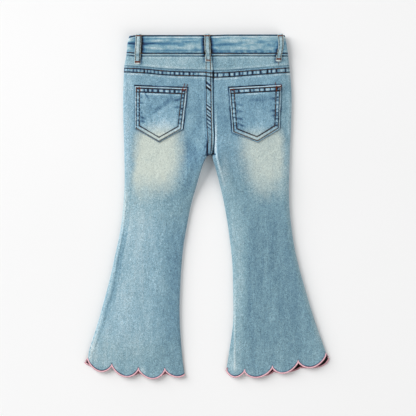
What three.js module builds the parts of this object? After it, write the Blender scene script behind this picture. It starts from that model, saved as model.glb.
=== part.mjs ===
// Flared jeans of a small child, laid flat on their front, so that the seat, the yoke and the back
// pockets face up. Millimetres, +Z up, +Y towards the waist, +X to the right of someone looking down.
// The origin is the centre of the footprint, on the surface that the jeans lie on.
//
// The garment is a flattened tube for the hips and one for each leg. Every section of a tube lies in
// a plane across Y: the back panel is its upper half, the front panel its lower half, and the two meet
// half way up the fold at each side, where the side seam and the inseam run.

import * as THREE from "three";

// ---- driving sizes, mm ----
const UNIT = 1.75; // the tables below are in units of 1.75 mm: x to the right, y down from above the waist
const MID_X = 206.912; // table x of the footprint's middle
const MID_Y = 208.165; // table y of its middle
const GAP = 0.3; // clearance between neighbouring pieces at a seam
const CLOTH = 2.0; // wall of one denim panel, nap and crumple included
const LAID = 7.9; // height of the legs laid flat: two walls and the air between them
const SAG = 0.8; // how far the middle of the upper layer settles below its folded edges
const FOLD = 5.0; // reach of the rounded fold at each side of a tube
const BAND_CLOTH = 2.6; // waistband wall, two layers of denim
const BAND_AIR = 3.9; // air between the back and the front of the waistband
const LIFT = 2.7; // the waistband lies this far up, on the front loops and the button
const POCKET_CLOTH = 1.6;
const LOOP_CLOTH = 1.6;
const EDGING_WIDTH = 3.0; // overlocked edge below each scallop
const EDGING_THICK = 2.4;
const BUTTON_R = 7.5;
const BUTTON_H = 2.4;

// ---- outline of the garment, a row for each section ----
// lo and ro are the left and right outer folds
const SIDES = [
  { y: 33, lo: 130.0, ro: 284.4 },
  { y: 44, lo: 127.5, ro: 286.4 },
  { y: 56, lo: 125.9, ro: 288.0 },
  { y: 66, lo: 124.3, ro: 289.4 },
  { y: 82, lo: 123.3, ro: 291.1 },
  { y: 100, lo: 123.0, ro: 291.7 },
  { y: 125, lo: 123.3, ro: 291.2 },
  { y: 150, lo: 124.0, ro: 290.0 },
  { y: 177, lo: 124.4, ro: 289.2 },
  { y: 201, lo: 123.4, ro: 289.2 },
  { y: 225, lo: 120.9, ro: 291.3 },
  { y: 249, lo: 116.3, ro: 294.9 },
  { y: 273, lo: 110.9, ro: 300.4 },
  { y: 297, lo: 104.6, ro: 307.4 },
  { y: 321, lo: 97.9, ro: 314.8 },
  { y: 345, lo: 90.8, ro: 323.2 },
  { y: 352, lo: 88.9, ro: 325.5 },
  { y: 359, lo: 87.5, ro: 326.7 },
  { y: 372, lo: 87.2, ro: 327.2 },
  { y: 390, lo: 87.2, ro: 327.4 },
];
// li and ri are the inner folds of the left and right legs, below the crotch
const CROTCH_Y = 158;
const INSIDES = [
  { y: 158, li: 206.4, ri: 213.0 },
  { y: 162, li: 204.6, ri: 213.6 },
  { y: 166, li: 203.0, ri: 214.6 },
  { y: 177, li: 199.8, ri: 217.4 },
  { y: 189, li: 195.6, ri: 220.8 },
  { y: 201, li: 191.9, ri: 223.7 },
  { y: 213, li: 189.2, ri: 225.9 },
  { y: 225, li: 186.9, ri: 227.8 },
  { y: 249, li: 182.9, ri: 231.0 },
  { y: 273, li: 180.8, ri: 232.8 },
  { y: 297, li: 179.7, ri: 233.4 },
  { y: 321, li: 179.5, ri: 233.3 },
  { y: 345, li: 180.9, ri: 230.5 },
  { y: 365, li: 183.3, ri: 226.8 },
  { y: 390, li: 187.0, ri: 222.8 },
];
// centre back seam and centre front seam, above the crotch
const CENTRES = [
  { y: 33, back: 211.8, front: 209.0 },
  { y: 80, back: 212.8, front: 209.0 },
  { y: 120, back: 212.9, front: 209.2 },
  { y: 150, back: 213.2, front: 209.5 },
  { y: 154, back: 212.4, front: 209.6 },
  { y: 158, back: 210.2, front: 209.7 },
];
// lower edge of the yoke
const YOKE = [
  { x: 120, y: 66.2 },
  { x: 145, y: 67.6 },
  { x: 175, y: 69.8 },
  { x: 204, y: 70.8 },
  { x: 213, y: 71.4 },
  { x: 235, y: 70.2 },
  { x: 265, y: 68.0 },
  { x: 292, y: 66.2 },
];
const BAND_TOP = 34.9; // waistband's top edge, and its drop at the side folds
const BAND_BOTTOM = 55.8;
const BAND_DROP = 1.4;

// ---- scalloped hem: s runs from the side seam (0) to the inseam (1), y is the cusp between scallops ----
const SCALLOP_DEEP = 10.2; // how far a scallop hangs below the line between its cusps
const HEMS = {
  back_left: [
    { s: 0, y: 357.2 },
    { s: 0.258, y: 363.4 },
    { s: 0.533, y: 367.0 },
    { s: 0.808, y: 367.4 },
    { s: 1.075, y: 364.0 },
  ],
  back_right: [
    { s: 0, y: 352.6 },
    { s: 0.288, y: 359.4 },
    { s: 0.546, y: 364.8 },
    { s: 0.815, y: 368.4 },
    { s: 1.02, y: 364.2 },
  ],
  front_left: [
    { s: 0, y: 357.2 },
    { s: 0.256, y: 365.0 },
    { s: 0.529, y: 368.8 },
    { s: 0.804, y: 369.2 },
    { s: 1.075, y: 364.0 },
  ],
  front_right: [
    { s: 0, y: 352.6 },
    { s: 0.252, y: 364.2 },
    { s: 0.52, y: 368.4 },
    { s: 0.803, y: 370.6 },
    { s: 1.02, y: 364.2 },
  ],
};
const FRONT_FLARE = 3.2; // how far the front panel spreads past the back panel at the hem, in table units
const SCALLOP_STEPS = [0, 0.1, 0.35, 0.65, 0.9];
const FOLD_STEPS = [0, 45, 90]; // degrees round a fold

// ---- pockets, loops, fly ----
const POCKETS = {
  pocket_left: { tl: [135.2, 86.0], tr: [188.0, 88.3], br: [183.4, 129.2], tip: [159.1, 141.9], bl: [135.2, 127.8] },
  pocket_right: { tl: [229.0, 88.6], tr: [282.0, 85.9], br: [280.5, 128.8], tip: [257.6, 142.2], bl: [232.4, 132.0] },
};
// x at the top and at the bottom of each loop, and where it ends
const BACK_LOOPS = [
  { name: "belt_loop_back_left", top: 138.5, bottom: 137.6, end: 64.6 },
  { name: "belt_loop_back_centre", top: 207.0, bottom: 208.3, end: 62.2 },
  { name: "belt_loop_back_right", top: 279.7, bottom: 278.2, end: 63.6 },
];
const FRONT_LOOPS = [
  { name: "belt_loop_front_left", x: 164 },
  { name: "belt_loop_front_right", x: 254 },
];
const LOOP_WIDTH = 11.2;
const FLY = [
  { y: 33, reach: 17 },
  { y: 112, reach: 17 },
  { y: 120, reach: 14.5 },
  { y: 126, reach: 8.5 },
  { y: 129.5, reach: 1.0 },
];

// ---- small tools ----
const clamp = (v, a, b) => Math.min(b, Math.max(a, v));
const mix = (a, b, t) => a + (b - a) * t;
const smooth = (t) => {
  const c = clamp(t, 0, 1);
  return c * c * (3 - 2 * c);
};

// Smooth curve through one column of a table, with another column as its parameter.
function track(rows, key, along = "y") {
  const p = rows.map((r) => r[along]);
  const v = rows.map((r) => r[key]);
  const n = p.length;
  const slope = p.map((_, i) => {
    if (i === 0) return (v[1] - v[0]) / (p[1] - p[0]);
    if (i === n - 1) return (v[n - 1] - v[n - 2]) / (p[n - 1] - p[n - 2]);
    const a = (v[i] - v[i - 1]) / (p[i] - p[i - 1]);
    const b = (v[i + 1] - v[i]) / (p[i + 1] - p[i]);
    return a * b <= 0 ? 0 : (2 * a * b) / (a + b);
  });
  return (q) => {
    const x = clamp(q, p[0], p[n - 1]);
    let i = 0;
    while (i < n - 2 && x > p[i + 1]) i++;
    const h = p[i + 1] - p[i];
    const t = (x - p[i]) / h;
    const t2 = t * t;
    const t3 = t2 * t;
    return (
      (2 * t3 - 3 * t2 + 1) * v[i] +
      (t3 - 2 * t2 + t) * h * slope[i] +
      (3 * t2 - 2 * t3) * v[i + 1] +
      (t3 - t2) * h * slope[i + 1]
    );
  };
}

const leftOuter = track(SIDES, "lo");
const rightOuter = track(SIDES, "ro");
const leftInner = track(INSIDES, "li");
const rightInner = track(INSIDES, "ri");
const centreBack = track(CENTRES, "back");
const centreFront = track(CENTRES, "front");
const yokeLine = track(YOKE, "y", "x");
const flyReach = track(FLY, "reach");

const toX = (x) => (x - MID_X) * UNIT;
const toY = (y) => (MID_Y - y) * UNIT;

// Underside of the garment: flat on the surface, and lifted towards the waist by what the band lies on.
const base = (y) => LIFT * (1 - smooth((y - BAND_BOTTOM) / 28));

// A closed solid between two grids of points, given as rows of [x, y, z].
function shell(upper, lower) {
  const rows = upper.length;
  const cols = upper[0].length;
  const points = [...upper.flat(), ...lower.flat()];
  const id = (layer, i, j) => layer * rows * cols + i * cols + j;
  const faces = [];
  const quad = (a, b, c, d) => faces.push([a, b, c], [a, c, d]);
  for (let i = 0; i < rows - 1; i++)
    for (let j = 0; j < cols - 1; j++) {
      quad(id(0, i, j), id(0, i + 1, j), id(0, i + 1, j + 1), id(0, i, j + 1));
      quad(id(1, i, j), id(1, i, j + 1), id(1, i + 1, j + 1), id(1, i + 1, j));
    }
  const rim = [];
  for (let j = 0; j < cols - 1; j++) rim.push([0, j]);
  for (let i = 0; i < rows - 1; i++) rim.push([i, cols - 1]);
  for (let j = cols - 1; j > 0; j--) rim.push([rows - 1, j]);
  for (let i = rows - 1; i > 0; i--) rim.push([i, 0]);
  rim.forEach(([i, j], k) => {
    const [m, n] = rim[(k + 1) % rim.length];
    quad(id(0, i, j), id(0, m, n), id(1, m, n), id(1, i, j));
  });
  return solid(points, faces);
}

// A closed ring of sections, each the same number of points in the same order round its own edge.
function ring(stations) {
  const n = stations.length;
  const m = stations[0].length;
  const points = stations.flat();
  const faces = [];
  for (let i = 0; i < n; i++)
    for (let k = 0; k < m; k++) {
      const a = i * m + k;
      const b = i * m + ((k + 1) % m);
      const c = ((i + 1) % n) * m + ((k + 1) % m);
      const d = ((i + 1) % n) * m + k;
      faces.push([a, b, c], [a, c, d]);
    }
  return solid(points, faces);
}

// BufferGeometry from points and triangles, turned so that its faces point out.
function solid(points, faces) {
  let volume = 0;
  const at = points.map((p) => new THREE.Vector3(...p));
  for (const [a, b, c] of faces)
    volume += at[a].dot(new THREE.Vector3().crossVectors(at[b], at[c])) / 6;
  const index = faces.flatMap(([a, b, c]) => (volume > 0 ? [a, b, c] : [a, c, b]));
  const geometry = new THREE.BufferGeometry();
  geometry.setAttribute("position", new THREE.Float32BufferAttribute(points.flat(), 3));
  geometry.setIndex(index);
  geometry.computeVertexNormals();
  return geometry;
}

// ---- the four leg panels ----
// How far the inner end of a panel is folded round: 0 where it meets its twin at the centre seam, 1 below the crotch.
const innerFold = (y) => smooth((y - 149) / 9);

// Left and right ends of a half of the garment at height y, for the back or the front layer.
function ends(side, layer, y) {
  const gap = GAP / 2 / UNIT;
  const outer = side === "left" ? leftOuter(y) : rightOuter(y);
  let inner;
  if (y >= CROTCH_Y) inner = side === "left" ? leftInner(y) : rightInner(y);
  else {
    const centre = layer === "back" ? centreBack(y) : centreFront(y);
    inner = side === "left" ? centre - gap : centre + gap;
    const t = smooth((y - 154) / (CROTCH_Y - 154)); // the crotch curve runs out to the inner fold
    const leg = side === "left" ? leftInner(CROTCH_Y) : rightInner(CROTCH_Y);
    inner = mix(inner, leg, t * t);
  }
  return { outer, inner };
}

// Height of a scalloped hem at s, in table units.
function hemAt(hem, s) {
  let k = 0;
  while (k < hem.length - 2 && s > hem[k + 1].s) k++;
  const a = hem[k];
  const b = hem[k + 1];
  const p = clamp((s - a.s) / (b.s - a.s), 0, 1);
  return mix(a.y, b.y, p) + SCALLOP_DEEP * Math.pow(4 * p * (1 - p), 0.6);
}

// Columns of a leg panel: three round each fold and five to a scallop.
function columns(hem) {
  const list = FOLD_STEPS.map((a) => ({ end: 0, a: (a * Math.PI) / 180 }));
  for (let k = 0; k < hem.length - 1; k++)
    for (const p of SCALLOP_STEPS) {
      const s = mix(hem[k].s, hem[k + 1].s, p);
      if (s > 0.045 && s < 0.955) list.push({ s });
    }
  return [...list, ...[...FOLD_STEPS].reverse().map((a) => ({ end: 1, a: (a * Math.PI) / 180 }))];
}

// Share of the width at which a column stands, at height y.
function shareOf(column, width) {
  if (column.s !== undefined) return column.s;
  const reach = (FOLD * (1 - Math.cos(column.a))) / width;
  return column.end === 0 ? reach : 1 - reach;
}

// Outer and inner point of a panel's wall at a column and a height. inset gives an edge short of the centre seam.
function wallPoint(side, layer, column, y, flare = 0, inset = null) {
  const e = ends(side, layer, y);
  if (inset !== null) e.inner = inset(y);
  const outward = side === "left" ? -1 : 1;
  const outer = e.outer + outward * flare;
  const width = Math.abs(e.inner - outer) * UNIT;
  const low = base(y);
  const high = low + LAID;
  const middle = low + LAID / 2;
  const s = shareOf(column, width);
  const settle = SAG * 4 * s * (1 - s);
  const level = layer === "back" ? high - settle : low;
  const up = layer === "back" ? 1 : -1;
  const half = up * (level - middle) - GAP / 2;
  let x = s * width;
  let z = level;
  let xi = x;
  let zi = level - up * CLOTH;
  if (column.end !== undefined) {
    const f = column.end === 0 ? 1 : inset !== null && y < 130 ? 0 : innerFold(y);
    const sin = Math.sin(column.a);
    const cos = Math.cos(column.a);
    const zf = middle + up * (GAP / 2 + half * sin);
    const zfi = middle + up * (GAP / 2 + (half - CLOTH) * sin);
    const inwards = CLOTH + (FOLD - CLOTH) * (1 - cos);
    const xf = column.end === 0 ? inwards : width - inwards;
    z = mix(level, zf, f);
    zi = mix(level - up * CLOTH, zfi, f);
    xi = mix(x, xf, f);
  }
  const toward = side === "left" ? 1 : -1;
  const start = toX(outer);
  return {
    out: [start + toward * x, toY(y), z],
    in: [start + toward * xi, toY(y), zi],
  };
}

function legPanel(side, layer, heights, topLine, inset) {
  const hem = HEMS[layer + "_" + side];
  const cols = columns(hem);
  const hemWidth = Math.abs(ends(side, layer, 365).inner - ends(side, layer, 365).outer) * UNIT;
  const out = [];
  const inn = [];
  const lastFull = heights[heights.length - 1];
  const rows = [...heights.map((y) => ({ y })), { t: 0.4 }, { t: 1 }];
  const hemRow = [];
  for (const row of rows) {
    const o = [];
    const n = [];
    for (const c of cols) {
      const s = shareOf(c, hemWidth);
      let y = row.y;
      if (row.t !== undefined) y = mix(lastFull, hemAt(hem, s), row.t);
      if (row.y !== undefined && topLine) {
        // the first rows run from the yoke's slanting edge to a level row
        const top = topLine(side, c);
        if (row.y < 84) y = mix(top, 84, (row.y - heights[0]) / (84 - heights[0]));
      }
      const flare =
        layer === "front" ? FRONT_FLARE * smooth((y - hem[0].y) / 4.5) * (1 - smooth((s - 0.1) / 0.5)) : 0;
      const p = wallPoint(side, layer, c, y, flare, row.y !== undefined && row.y < 130 ? inset : null);
      o.push(p.out);
      n.push(p.in);
      if (row.t === 1) hemRow.push(p);
    }
    out.push(o);
    inn.push(n);
  }
  return { geometry: shell(out, inn), hemRow };
}

// Height of the yoke's lower edge at a column of a back panel.
function yokeEdge(side, column) {
  let y = 68.5;
  for (let k = 0; k < 3; k++) {
    const e = ends(side, "back", y);
    const s = shareOf(column, Math.abs(e.inner - e.outer) * UNIT);
    y = yokeLine(mix(e.outer, e.inner, s));
  }
  return y;
}

const SEAM = GAP / 2 / UNIT;
const backTop = (side, c) => yokeEdge(side, c) + SEAM;
const flyEdge = (y) => centreFront(y) - (y < 129.5 ? flyReach(y) : 0) - SEAM;

const group = new THREE.Group();
const DENIM = { color: 0x86a9bd, roughness: 0.92, metalness: 0 };
const DENIM_DARK = { color: 0x7399b3, roughness: 0.92, metalness: 0 };
const PINK = { color: 0xd9929c, roughness: 0.8, metalness: 0 };
const METAL = { color: 0x8c6f52, roughness: 0.4, metalness: 0.9 };
function add(name, geometry, finish) {
  const mesh = new THREE.Mesh(geometry, new THREE.MeshStandardMaterial(finish));
  mesh.name = name;
  group.add(mesh);
  return mesh;
}

const BACK_HEIGHTS = [68, 76, 84, 108, 134, 149, 152, 155, 158, 162, 177, 201, 237, 285, 333];
const FRONT_HEIGHTS = {
  left: [56, 65, 74, 84, 112, 120, 126, 129.4, 149, 152, 155, 158, 162, 177, 201, 237, 285, 333],
  right: [56, 65, 74, 84, 112, 149, 152, 155, 158, 162, 177, 201, 237, 285, 333],
};
const hemRows = {};
for (const side of ["left", "right"]) {
  const back = legPanel(side, "back", BACK_HEIGHTS, backTop, null);
  add("back_panel_" + side, back.geometry, DENIM);
  const front = legPanel(side, "front", FRONT_HEIGHTS[side], null, side === "left" ? flyEdge : null);
  add("front_panel_" + side, front.geometry, DENIM);
  hemRows[side] = { back: back.hemRow, front: front.hemRow };
}

// ---- yokes, between the waistband and the back panels ----
const YOKE_COLUMNS = [
  ...FOLD_STEPS.map((a) => ({ end: 0, a: (a * Math.PI) / 180 })),
  ...[0.15, 0.3, 0.45, 0.6, 0.75, 0.9].map((s) => ({ s })),
  { end: 1, a: 0 },
];
for (const side of ["left", "right"]) {
  const out = [];
  const inn = [];
  for (const t of [0, 0.25, 0.5, 0.75, 1]) {
    const o = [];
    const n = [];
    for (const c of YOKE_COLUMNS) {
      const y = mix(BAND_BOTTOM + 2 * SEAM, yokeEdge(side, c) - SEAM, t);
      const p = wallPoint(side, "back", c, y);
      o.push(p.out);
      n.push(p.in);
    }
    out.push(o);
    inn.push(n);
  }
  add("yoke_" + side, shell(out, inn), DENIM);
}

// ---- fly: the strip between the centre front and its curved edge ----
{
  const out = [];
  const inn = [];
  for (const y of [56, 65, 74, 84, 98, 112, 120, 126, 129.0]) {
    const from = flyEdge(y) + 2 * SEAM;
    const to = centreFront(y) - SEAM;
    const z = base(y);
    out.push([0, 0.5, 1].map((t) => [toX(mix(from, Math.max(to, from + 0.4), t)), toY(y), z]));
    inn.push([0, 0.5, 1].map((t) => [toX(mix(from, Math.max(to, from + 0.4), t)), toY(y), z + CLOTH]));
  }
  add("fly", shell(out, inn), DENIM);
}

// ---- waistband: a flattened ring ----
const bandTopZ = LIFT + 2 * BAND_CLOTH + BAND_AIR;
{
  const sides = 12; // stations along the back and along the front
  const turn = [-75, -45, -15, 15, 45, 75]; // stations round each fold, in degrees
  const stations = [];
  const half = (bandTopZ - LIFT) / 2;
  const middle = LIFT + half;
  const at = (y, share, side, a) => {
    // share runs from the left fold (0) to the right fold (1)
    const l = toX(leftOuter(y)) + FOLD;
    const r = toX(rightOuter(y)) - FOLD;
    const x = mix(l, r, share);
    return (inset) => {
      const rad = (a * Math.PI) / 180;
      const reach = FOLD - inset;
      const rise = half - inset;
      const dx = side === 0 ? 0 : side * Math.cos(rad) * reach;
      const dz = side === 0 ? Math.sign(a) * rise : Math.sin(rad) * rise;
      return [x + dx, toY(y), middle + dz];
    };
  };
  const drop = (share) => BAND_DROP * Math.pow(Math.abs(2 * share - 1), 8);
  const levels = (share) => [BAND_TOP + drop(share), mix(BAND_TOP, BAND_BOTTOM, 0.5), BAND_BOTTOM];
  const add4 = (share, side, a) => {
    const [top, mid, bottom] = levels(share);
    const out = [];
    const inn = [];
    for (const y of [top, mid, bottom]) {
      const f = at(y, share, side, a);
      out.push(f(0));
      inn.push(f(BAND_CLOTH));
    }
    stations.push([...out, ...inn.reverse()]);
  };
  for (let k = 0; k <= sides; k++) add4(k / sides, 0, 90);
  for (const a of [...turn].reverse()) add4(1, 1, a);
  for (let k = sides; k >= 0; k--) add4(k / sides, 0, -90);
  for (const a of turn) add4(0, -1, a);
  add("waistband", ring(stations), DENIM_DARK);
}

// ---- back pockets, lying on the back panels ----
const backSurface = (x, y) => {
  const side = x < centreBack(y) ? "left" : "right";
  const e = ends(side, "back", y);
  const s = Math.abs(x - e.outer) / Math.abs(e.inner - e.outer);
  return base(y) + LAID - SAG * 4 * s * (1 - s);
};
for (const [name, p] of Object.entries(POCKETS)) {
  const out = [];
  const inn = [];
  const across = [0, 0.17, 0.33, 0.5, 0.67, 0.83, 1];
  const tipShare = (p.tip[0] - p.bl[0]) / (p.br[0] - p.bl[0]);
  const shares = across.map((t) => (t <= 0.5 ? (t / 0.5) * tipShare : mix(tipShare, 1, (t - 0.5) / 0.5)));
  for (const v of [0, 0.12, 0.4, 0.7, 1]) {
    const o = [];
    const n = [];
    for (const t of shares) {
      const top = [mix(p.tl[0], p.tr[0], t), mix(p.tl[1], p.tr[1], t)];
      const foot =
        t <= tipShare
          ? [mix(p.bl[0], p.tip[0], t / tipShare), mix(p.bl[1], p.tip[1], t / tipShare)]
          : [mix(p.tip[0], p.br[0], (t - tipShare) / (1 - tipShare)), mix(p.tip[1], p.br[1], (t - tipShare) / (1 - tipShare))];
      const x = mix(top[0], foot[0], v);
      const y = mix(top[1], foot[1], v);
      const z = backSurface(x, y) + GAP + 0.1;
      o.push([toX(x), toY(y), z + POCKET_CLOTH]);
      n.push([toX(x), toY(y), z]);
    }
    out.push(o);
    inn.push(n);
  }
  add(name, shell(out, inn), DENIM_DARK);
}

// ---- belt loops ----
for (const loop of BACK_LOOPS) {
  const out = [];
  const inn = [];
  for (const y of [BAND_TOP + 0.3, 37, 41, 46, 51, BAND_BOTTOM, 58.6, 60.6, loop.end]) {
    const t = (y - BAND_TOP) / (loop.end - BAND_TOP);
    const onBand = bandTopZ + 0.9 * Math.sin(Math.PI * clamp((y - 35) / 21, 0, 1));
    const onYoke = backSurface(loop.top, y) + 0.1;
    const z = (y <= BAND_BOTTOM ? onBand : mix(onBand, onYoke, smooth((y - BAND_BOTTOM) / 4.5))) + GAP;
    const x = mix(loop.top, loop.bottom, t);
    const w = LOOP_WIDTH / 2 / UNIT;
    out.push([-w, 0, w].map((d) => [toX(x + d), toY(y), z + LOOP_CLOTH]));
    inn.push([-w, 0, w].map((d) => [toX(x + d), toY(y), z]));
  }
  add(loop.name, shell(out, inn), DENIM);
}
for (const loop of FRONT_LOOPS) {
  const out = [];
  const inn = [];
  for (const y of [BAND_TOP + 0.3, 45, BAND_BOTTOM, 59, 62.5]) {
    const top = Math.min(LIFT - GAP, base(y) - GAP);
    const w = LOOP_WIDTH / 2 / UNIT;
    out.push([-w, 0, w].map((d) => [toX(loop.x + d), toY(y), top]));
    inn.push([-w, 0, w].map((d) => [toX(loop.x + d), toY(y), Math.min(top - LOOP_CLOTH, 0.8)]));
  }
  add(loop.name, shell(out, inn), DENIM);
}

// ---- button, fastened under the front of the waistband ----
{
  const g = new THREE.CylinderGeometry(BUTTON_R, BUTTON_R, BUTTON_H, 28);
  const m = add("button", g, METAL);
  m.rotation.x = Math.PI / 2;
  m.position.set(toX(205.5), toY(45), BUTTON_H / 2);
}

// ---- overlocked edging round each scalloped hem ----
for (const side of ["left", "right"]) {
  const back = hemRows[side].back;
  const front = [...hemRows[side].front].reverse();
  const middle = (p) => p.out.map((v, k) => (v + p.in[k]) / 2);
  const path = [...back, ...front].map((p) => ({ p, m: middle(p) }));
  const stations = path.map(({ p, m }, i) => {
    const before = path[(i + path.length - 1) % path.length].m;
    const after = path[(i + 1) % path.length].m;
    const onBack = i < back.length;
    // away from the cloth, in the plane of the panel: below the edge and square to it
    const t = [after[0] - before[0], after[1] - before[1]];
    const length = Math.hypot(t[0], t[1]) || 1;
    let d = [t[1] / length, -t[0] / length];
    if (d[1] > 0) d = [-d[0], -d[1]];
    const turn = i === 0 || i === path.length - 1 || i === back.length - 1 || i === back.length;
    if (turn) d = [0, -1];
    d = [d[0] * 0.55, Math.min(d[1], -0.72)];
    const dl = Math.hypot(d[0], d[1]);
    d = [d[0] / dl, d[1] / dl];
    // across the thickness, from the inner to the outer face of the wall
    const w = p.out.map((v, k) => v - p.in[k]);
    const wl = Math.hypot(...w);
    const across = w.map((v) => v / wl);
    const place = (along, off) => [
      m[0] + d[0] * along + across[0] * off,
      m[1] + d[1] * along,
      m[2] + across[2] * off,
    ];
    const h = Math.min(EDGING_THICK / 2, CLOTH / 2);
    const near = 0.45;
    const far = near + EDGING_WIDTH;
    return [place(near, h), place(far, h), place(far, -h), place(near, -h)];
  });
  add("hem_edging_" + side, ring(stations), PINK);
}

// Bring the footprint's centre and the surface to the origin.
const box = new THREE.Box3().setFromObject(group);
const centre = box.getCenter(new THREE.Vector3());
group.position.set(-centre.x, -centre.y, -box.min.z);
group.updateMatrixWorld(true);

export default group;
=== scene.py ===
import math

import bpy
import numpy as np
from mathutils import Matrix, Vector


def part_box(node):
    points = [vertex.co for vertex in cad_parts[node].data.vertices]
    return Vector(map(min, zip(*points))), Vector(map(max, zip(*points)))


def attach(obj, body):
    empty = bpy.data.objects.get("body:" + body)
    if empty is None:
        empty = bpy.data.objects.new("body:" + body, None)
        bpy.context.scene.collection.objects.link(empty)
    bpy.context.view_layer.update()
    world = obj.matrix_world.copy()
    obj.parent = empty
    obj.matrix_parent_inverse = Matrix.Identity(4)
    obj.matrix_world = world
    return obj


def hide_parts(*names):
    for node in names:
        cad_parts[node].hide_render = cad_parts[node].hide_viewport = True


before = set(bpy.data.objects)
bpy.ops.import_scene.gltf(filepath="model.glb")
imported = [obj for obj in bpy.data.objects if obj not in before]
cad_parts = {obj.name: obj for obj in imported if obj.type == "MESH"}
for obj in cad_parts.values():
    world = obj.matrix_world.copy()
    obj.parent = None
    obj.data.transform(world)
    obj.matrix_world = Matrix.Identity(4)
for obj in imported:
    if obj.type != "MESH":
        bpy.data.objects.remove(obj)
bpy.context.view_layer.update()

UNIT = 1.75
MID_X = 206.912
MID_Y = 208.165
LIFT = 2.7  # the waistband lies this far up, on the front loops and the button
FOLD = 5.0  # reach of the rounded fold at each side of a tube, mm
HALF = 4.0  # height of the side seam above the underside
WALL = 1.3  # denim as it shows at an edge


def X(u):
    return (np.asarray(u, float) - MID_X) * UNIT


def Y(v):
    return (MID_Y - np.asarray(v, float)) * UNIT


def smooth(t):
    t = np.clip(t, 0, 1)
    return t * t * (3 - 2 * t)


def mix(a, b, t):
    return a + (b - a) * t


def track(rows, col, along=0):
    """Smooth curve through one column of a table, with another column as its parameter."""
    p = np.array([r[along] for r in rows], float)
    q = np.array([r[col] for r in rows], float)
    d = np.diff(q) / np.diff(p)
    s = np.empty(len(p))
    s[0], s[-1] = d[0], d[-1]
    a, b = d[:-1], d[1:]
    ok = a * b > 0
    s[1:-1] = np.where(ok, 2 * a * b / np.where(ok, a + b, 1), 0)

    def at(x):
        x = np.clip(np.asarray(x, float), p[0], p[-1])
        i = np.clip(np.searchsorted(p, x, side="right") - 1, 0, len(p) - 2)
        h = p[i + 1] - p[i]
        t = (x - p[i]) / h
        t2, t3 = t * t, t * t * t
        return (
            (2 * t3 - 3 * t2 + 1) * q[i]
            + (t3 - 2 * t2 + t) * h * s[i]
            + (3 * t2 - 2 * t3) * q[i + 1]
            + (t3 - t2) * h * s[i + 1]
        )

    return at


def noise(x, y, seed=0):
    """Smooth value noise from -1 to 1."""
    x, y = np.asarray(x, float), np.asarray(y, float)
    i, j = np.floor(x).astype(np.int64), np.floor(y).astype(np.int64)
    fx, fy = x - i, y - j
    fx, fy = fx * fx * (3 - 2 * fx), fy * fy * (3 - 2 * fy)

    def lattice(a, b):
        h = (a * 374761393 + b * 668265263 + seed * 974634777) & 0xFFFFFFFF
        h = ((h ^ (h >> 13)) * 1274126177) & 0xFFFFFFFF
        h = h ^ (h >> 16)
        return (h & 0xFFFF) / 32767.5 - 1

    return mix(
        mix(lattice(i, j), lattice(i + 1, j), fx),
        mix(lattice(i, j + 1), lattice(i + 1, j + 1), fx),
        fy,
    )


def ridge(u, v, points, width):
    """Soft ridge along a line of (u, v, strength); a negative strength is a trough."""
    out = np.zeros(np.broadcast(u, v).shape)
    pts = np.array(points, float)
    pad = 3 * width
    near = (
        (u > pts[:, 0].min() - pad)
        & (u < pts[:, 0].max() + pad)
        & (v > pts[:, 1].min() - pad)
        & (v < pts[:, 1].max() + pad)
    )
    if not near.any():
        return out
    uu, vv = u[near], v[near]
    best = np.full(uu.shape, 1e9)
    amp = np.zeros(uu.shape)
    for a, b in zip(pts[:-1], pts[1:]):
        d = b[:2] - a[:2]
        t = np.clip(((uu - a[0]) * d[0] + (vv - a[1]) * d[1]) / (d @ d), 0, 1)
        far = np.hypot(uu - a[0] - t * d[0], vv - a[1] - t * d[1])
        closer = far < best
        best = np.where(closer, far, best)
        amp = np.where(closer, mix(a[2], b[2], t), amp)
    out[near] = amp * np.exp(-((best / width) ** 2))
    return out


def bars(x, places, width):
    """Short soft bars at the given places along x."""
    out = np.zeros(np.shape(x))
    for k, c in enumerate(places):
        w = width * (1 + 0.35 * math.sin(7.3 * k + c))
        out += (0.75 + 0.25 * math.sin(3.1 * k + 2 * c)) * np.exp(-(((x - c) / w) ** 2))
    return out


def rungs(x, places, width):
    """Soft bars along x from rows of place and strength."""
    out = np.zeros(np.shape(x))
    for c, strength in places:
        out += min(strength, 1.15) * np.exp(-(((x - c) / (width * (0.8 + 0.3 * strength))) ** 2))
    return out


# ---------------------------------------------------------------- outline
OUT = [  # v, left fold, right fold
    (33, 130.2, 284.0), (35, 129.6, 284.7), (37, 128.9, 285.3), (40, 128.0, 286.0), (44, 127.3, 286.7),
    (50, 126.8, 287.6), (56, 126.1, 288.3), (62, 124.9, 289.0), (66, 124.1, 289.5), (70, 123.8, 289.9),
    (76, 123.6, 290.5), (84, 123.3, 291.2), (92, 123.1, 291.6), (104, 123.1, 291.7), (118, 123.2, 291.4),
    (130, 123.5, 291.0), (142, 123.9, 290.4), (158, 124.2, 289.9), (177, 124.5, 289.3), (189, 124.3, 289.1),
    (201, 123.6, 289.3), (213, 122.5, 290.0), (225, 121.1, 291.3), (237, 119.0, 292.9), (249, 116.4, 294.9),
    (261, 113.7, 297.6), (273, 111.2, 300.6), (285, 108.2, 304.0), (297, 105.0, 307.5), (309, 101.7, 311.1),
    (321, 98.3, 314.9), (333, 94.6, 319.1), (345, 90.6, 323.4), (352, 88.6, 325.7), (357, 87.9, 326.6),
    (364, 87.4, 327.0), (390, 87.0, 327.3),
]
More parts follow.
